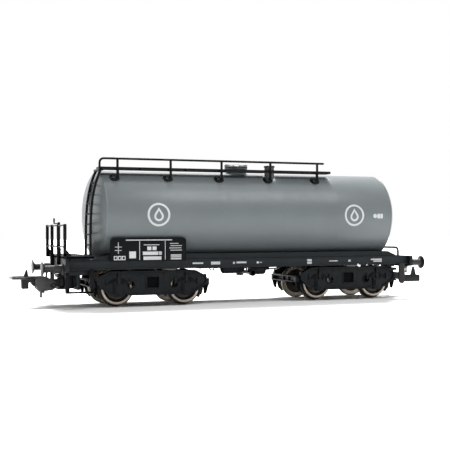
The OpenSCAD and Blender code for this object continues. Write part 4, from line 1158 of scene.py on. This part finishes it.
def build_bogie_brakes(name, pivot):
    g = Box(name + "_brakes")
    half = (g.x1 - g.x0) / 2
    p = Piece(name + "_brake_gear", name, "bogie_black", BROWN, RAIL, BOGIE, PAINTED_SHADE)
    shoe = WHEEL_R + 0.35
    low, high = -35.6, 5.4  # angles between which a brake block holds the wheel
    block = arc(0, 0, shoe, low, high, 14) + arc(0, 0, shoe + 0.72, high, low, 14)
    holder = arc(0, 0, shoe + 0.62, low + 7, high - 2, 10) + arc(0, 0, shoe + 1.2, high - 3, low + 12, 10)
    for s in BOTH:
        # end beam: a channel open to the outside, with end blocks
        x0, x1 = span(s, half - 2.0, half)
        p.box(x0, x1, -INNER, INNER, 8.55, 9.0, 0.07)
        p.box(x0, x1, -INNER, INNER, 6.7, 7.1, 0.07, 2)
        xw = x0 if s > 0 else x1 - 0.5
        p.box(xw, xw + 0.5, -INNER, INNER, 6.9, 8.8, 0.05, 2)
        for y in (-INNER, INNER - 1.6):
            p.box(x0, x1, y, y + 1.6, 6.72, 8.98, 0.12, 2)
        for y in (-2.2, 2.2):
            p.box(x0 + 0.9, x1 - 0.5, y - 0.16, y + 0.16, 6.9, 8.8, 0.04, 2)
        hanger = [(s * (half - dx), z) for dx, z in ((2.0, 7.1), (0.1, 7.1), (0.75, 4.6), (1.15, 3.75), (1.6, 3.75),
                                                     (1.8, 5.2))]
        cx, xb = s * HALF_BASE, s * (half - 1.7)
        xs = cx + s * (shoe + 0.6)
        arm = [(xs, AXLE_Z + 0.9), (xs, AXLE_Z - 0.6), (xb, AXLE_Z + 0.5), (xb, AXLE_Z + 1.25)]
        for side in BOTH:
            # painted shade: the hangers are drawn in the near-black shade material, darker than the bogie
            p.plate([soften(hanger, 0.25, closed=True)], "y", *span(side, 9.7, 10.6), 0.07, 3)
            y0, y1 = span(side, 8.3, 9.7)
            p.plate([[(cx + s * u, AXLE_Z + v) for u, v in block]], "y", y0, y1, 0.07)
            p.plate([[(cx + s * u, AXLE_Z + v) for u, v in holder]], "y", y0 + 0.3, y1 - 0.3, 0.07, 1)
            # arm from the beam to the shoe, and its pin
            yc = side * 9.0
            p.plate([arm], "y", yc - 0.4, yc + 0.4, 0.06, 1)
            p.lathe(peg(0.30, yc - 0.75, yc + 0.75), "y", (cx + s * (shoe + 0.95), 0, AXLE_Z - 0.1), 12, 1)
    p.moved(pivot)
    p.done(name + "_brakes")


for bogie, pivot_x in zip(("bogie_a", "bogie_b"), PIVOTS):
    build_side_frames(bogie, pivot_x)
    build_transom(bogie, pivot_x)
    build_bogie_brakes(bogie, pivot_x)


# ------------------------------------------------------------------ wheelsets
def build_wheelset(i, x):
    body, c = f"wheelset_{i}", (x, 0, AXLE_Z)
    tyre = surface(f"tyre_metal_{i}", (0.33, 0.295, 0.25), 0.30, metallic=1.0, grain=0.25, grain_mm=0.09, cloud_mm=3.0,
                   rough_swing=0.07, rings=(x, AXLE_Z, 0.16, 0.35))
    disc = surface(f"wheel_disc_{i}", (0.040, 0.031, 0.026), 0.45, metallic=0.4, tint=0.18, grain=0.45, grain_mm=0.11,
                   cloud_mm=2.5, rings=(x, AXLE_Z, 0.22, 0.2))
    w = Box(f"wheels_{i}")
    flange = (w.z1 - w.z0) / 2
    tread, back, face = flange - 0.8, 7.2, w.y1
    wide = face - back
    # sections of a wheel as (radius, distance from its back): tyre, painted shade on the flange and tread, web and bush
    ring = soften([(4.35, 0.05), (flange - 0.42, 0.0), (flange - 0.06, 0.16), (flange, 0.36), (flange - 0.05, 0.56),
                   (flange - 0.40, 0.76), (tread + 0.13, 0.92), (tread, 1.15), (tread - 0.06, wide - 0.18),
                   (tread - 0.24, wide), (4.55, wide), (4.35, wide - 0.15)], 0.12, 3, closed=True)
    # painted shade: the flange's front face and the tread laid over in the disc's dark material
    shade = [(flange - 0.24, 0.62), (flange - 0.38, 0.84), (tread + 0.14, 0.98), (tread + 0.05, 1.2),
             (tread + 0.02, wide - 0.30), (tread - 0.1, wide - 0.30), (tread - 0.1, 0.5), (flange - 0.5, 0.5)]
    web = soften([(1.7, 0.45), (2.1, 0.75), (4.0, 0.85), (4.4, 0.45), (4.4, wide - 0.45), (4.12, wide - 0.62),
                  (3.7, wide - 1.0), (2.4, wide - 0.95), (2.0, wide - 0.35), (1.7, wide - 0.15)], 0.18, 3, closed=True)
    # painted shade: the bush is drawn in the near-black shade material
    bush = pad(1.0, 1.74, 0.3, wide - 0.05, 0.1, 2)
    p = Piece(f"wheel_pair_{i}", body, "wheel_metal", tyre, disc, PAINTED_SHADE)
    for s in BOTH:
        for section, seg, mat in ((ring, 96, 0), (shade, 96, 1), (web, 72, 1), (bush, 40, 2)):
            p.lathe([(r, s * (back + a)) for r, a in section], "y", c, seg, mat, loop=True)
    p.done(f"wheels_{i}")

    end = Box(f"axle_{i}").y1
    half = [(0, end), (0.18, end), (0.6, end - 0.7), (0.6, face + 0.25), (1.0, face), (1.0, back - 0.6),
            (0.92, back - 0.7)]
    q = Piece(f"axle_shaft_{i}", body, "axle_steel", STEEL)
    q.lathe([(r, -a) for r, a in half] + half[::-1], "y", c, 36)
    q.done(f"axle_{i}")


for number, axle_x in enumerate(AXLES, 1):
    build_wheelset(number, axle_x)


# ------------------------------------------------------------------ couplers, drawn at the +X end
LOOP_X = -Box("coupler_a_loop").x0 - 13.7  # pin on which the loop lifts
LOOP_Z = 7.4


def build_hook(tag, outline, fin):
    h = Box(f"coupler_{tag}_hook")
    swing = h.x0 + 1.5 if tag == "b" else 1.5 - h.x1
    z0, z1 = 6.75, 9.75
    p = Piece(f"coupler_{tag}_body", f"coupler_{tag}", "coupler_plastic", COUPLER, WIRE)
    p.plate([circle(swing, 0, 1.5, 36), circle(swing, 0, 0.85, 28)], "z", z0, z1, 0.10)
    p.box(swing + 1.0, LOOP_X - 1.6, -1.1, 1.1, z0, z1, 0.14)
    p.plate([soften([(LOOP_X + x, z) for x, z in outline], 0.35, 3, closed=True)], "y", -1.3, 1.3, 0.12)
    p.plate([soften([(LOOP_X + x, z) for x, z in fin], 0.15, 3, closed=True)], "y", -0.5, 0.5, 0.08)
    if tag == "a":
        p.lathe([(0, -2.7), (0.42, -2.7), (0.5, -2.6), (0.5, 2.6), (0.42, 2.7), (0, 2.7)], "y",
                (LOOP_X, 0, LOOP_Z), 24, 1)
        p.flipped()
    p.done(f"coupler_{tag}_hook")


def build_loop():
    box = Box("coupler_a_loop")
    tip, y = -box.x0, box.y1 - 0.4
    x, z, zt = LOOP_X, LOOP_Z, 9.95
    p = Piece("coupler_a_bow", "loop_a", "loop_metal", WIRE)
    cheek = [(x - 0.9, z + 0.6), (x - 0.9, z - 0.5), (x, z - 1.6), (x + 4.3, 5.3), (x + 5.4, 6.3), (x + 5.9, 7.9),
             (x + 6.0, zt - 0.5), (x + 6.0, zt + 0.4), (x + 2.6, zt + 0.4), (x - 0.4, z + 1.5)]
    for s in BOTH:
        p.plate([soften(cheek, 0.4, closed=True), circle(x, z, 0.55)], "y", *span(s, 1.75, 2.45), 0.08)
        p.plate([circle(x, z, 0.85, 28), circle(x, z, 0.6)], "y", *span(s, 2.40, 2.45), 0.0)
    # bow: one bent wire of square section
    bow = [(x + 5.4, 2.1, zt), (x + 6.6, 2.5, zt), (x + 9.6, y, zt), (tip - 0.4, y, zt)]
    path = soften(bow + [(a, -b, c) for a, b, c in reversed(bow)], 0.9, 5)
    p.sweep(path, bar(0.40, 0.40, 0.14, 3), side=(0, 0, 1))
    p.box(x + 2.8, x + 4.3, -2.45, 2.45, 4.9, 5.4)
    p.lathe([(0, box.z0), (0.28, box.z0), (0.4, box.z0 + 0.15), (0.4, 5.1), (0, 5.1)], "z", (x + 3.7, 0, 0), 20)
    p.flipped()
    p.done("coupler_a_loop")


build_hook("a", [(-2.4, 6.9), (-1.0, 6.9), (-0.8, 6.1), (4.4, 6.1), (6.6, 7.4), (7.2, 8.4), (7.9, 8.4), (7.9, 6.3),
                 (10.1, 6.3), (10.3, 10.0), (2.2, 10.0), (1.6, 9.3), (-2.4, 9.3)],
           [(7.8, 9.9), (9.6, 9.9), (8.6, 12.6), (8.2, 12.6)])
build_hook("b", [(-2.4, 6.9), (1.2, 6.3), (3.8, 5.3), (10.2, 5.3), (10.2, 7.9), (3.4, 7.9), (1.2, 9.0), (-2.4, 9.3)],
           [(7.0, 7.8), (9.0, 7.8), (8.3, 10.9), (7.8, 10.9)])
build_loop()


# ------------------------------------------------------------------ floor, light and camera
def seen(t):
    """1 for camera, mirror and glass rays, which see plain white."""
    rays = t.add("LightPath", {}).node.outputs
    return t.math("MAXIMUM", t.math("MAXIMUM", rays["Is Camera Ray"], rays["Is Glossy Ray"]),
                  rays["Is Transmission Ray"])


def build_world():
    world = bpy.data.worlds.new("studio")
    bpy.context.scene.world = world
    t = Nodes(world, clear=True)
    # even light with a dim patch towards the platform corner, which shades the near head
    dot = t.add("VectorMath", {0: t.add("TexCoord", {}, "Generated"), 1: (-0.86, -0.50, 0.05)}, "Value",
                operation="DOT_PRODUCT")
    white = (1, 1, 1, 1)
    light = t.add("Background", {"Color": white, "Strength": t.map(dot, 0.55, 0.95, 0.22, 0.05)})
    backdrop = t.add("Background", {"Color": white, "Strength": 1.0})
    t.add("OutputWorld", {"Surface": t.add("MixShader", {"Fac": seen(t), 1: light, 2: backdrop})})


def build_floor():
    mesh = bpy.data.meshes.new("floor")
    bm = bmesh.new()
    bmesh.ops.create_grid(bm, x_segments=1, y_segments=1, size=3.0)
    bm.to_mesh(mesh)
    bm.free()
    floor = bpy.data.objects.new("floor", mesh)
    floor.location.z = -0.00002
    bpy.context.scene.collection.objects.link(floor)
    mat = bpy.data.materials.new("floor_white")
    t = Nodes(mat, clear=True)
    plain = t.add("BsdfDiffuse", {"Color": (0.64, 0.64, 0.64, 1)})
    bright = t.add("BsdfDiffuse", {"Color": (1.50, 1.50, 1.49, 1)})
    t.add("OutputMaterial", {"Surface": t.add("MixShader", {"Fac": seen(t), 1: plain, 2: bright})})
    mesh.materials.append(mat)


def build_sun(name, strength, direction, size):
    """A sun that shines from a direction; size is its width in degrees."""
    data = bpy.data.lights.new(name, "SUN")
    data.energy, data.angle = strength, math.radians(size)
    sun = bpy.data.objects.new(name, data)
    sun.location = direction
    sun.rotation_euler = (-Vector(direction)).to_track_quat("-Z", "Y").to_euler()
    bpy.context.scene.collection.objects.link(sun)


def build_camera():
    data = bpy.data.cameras.new("camera")
    data.lens, data.sensor_width = 70.4, 36.0
    data.clip_start, data.clip_end = 0.01, 20
    cam = bpy.data.objects.new("camera", data)
    bpy.context.scene.collection.objects.link(cam)
    yaw, pitch, roll = 0.3629, 0.0082, -0.0043
    forward = Vector((math.sin(yaw) * math.cos(pitch), math.cos(yaw) * math.cos(pitch), math.sin(pitch)))
    right = Vector((math.cos(yaw), -math.sin(yaw), 0))
    up = right.cross(forward)
    right, up = right * math.cos(roll) + up * math.sin(roll), up * math.cos(roll) - right * math.sin(roll)
    turn = Matrix((right, up, -forward)).transposed().to_4x4()
    cam.matrix_world = Matrix.Translation((-0.11624, -0.2948, 0.02467)) @ turn
    bpy.context.scene.camera = cam


bpy.context.scene.view_settings.view_transform = "Standard"
build_world()
build_floor()
build_sun("key_top", 4.2, (0.20, 0.54, 1.0), 20)
build_sun("soft_box", 1.1, (0.42, -0.72, 1.0), 28)
build_sun("back_fill", 0.7, (-0.60, 0.90, 0.40), 50)
build_camera()
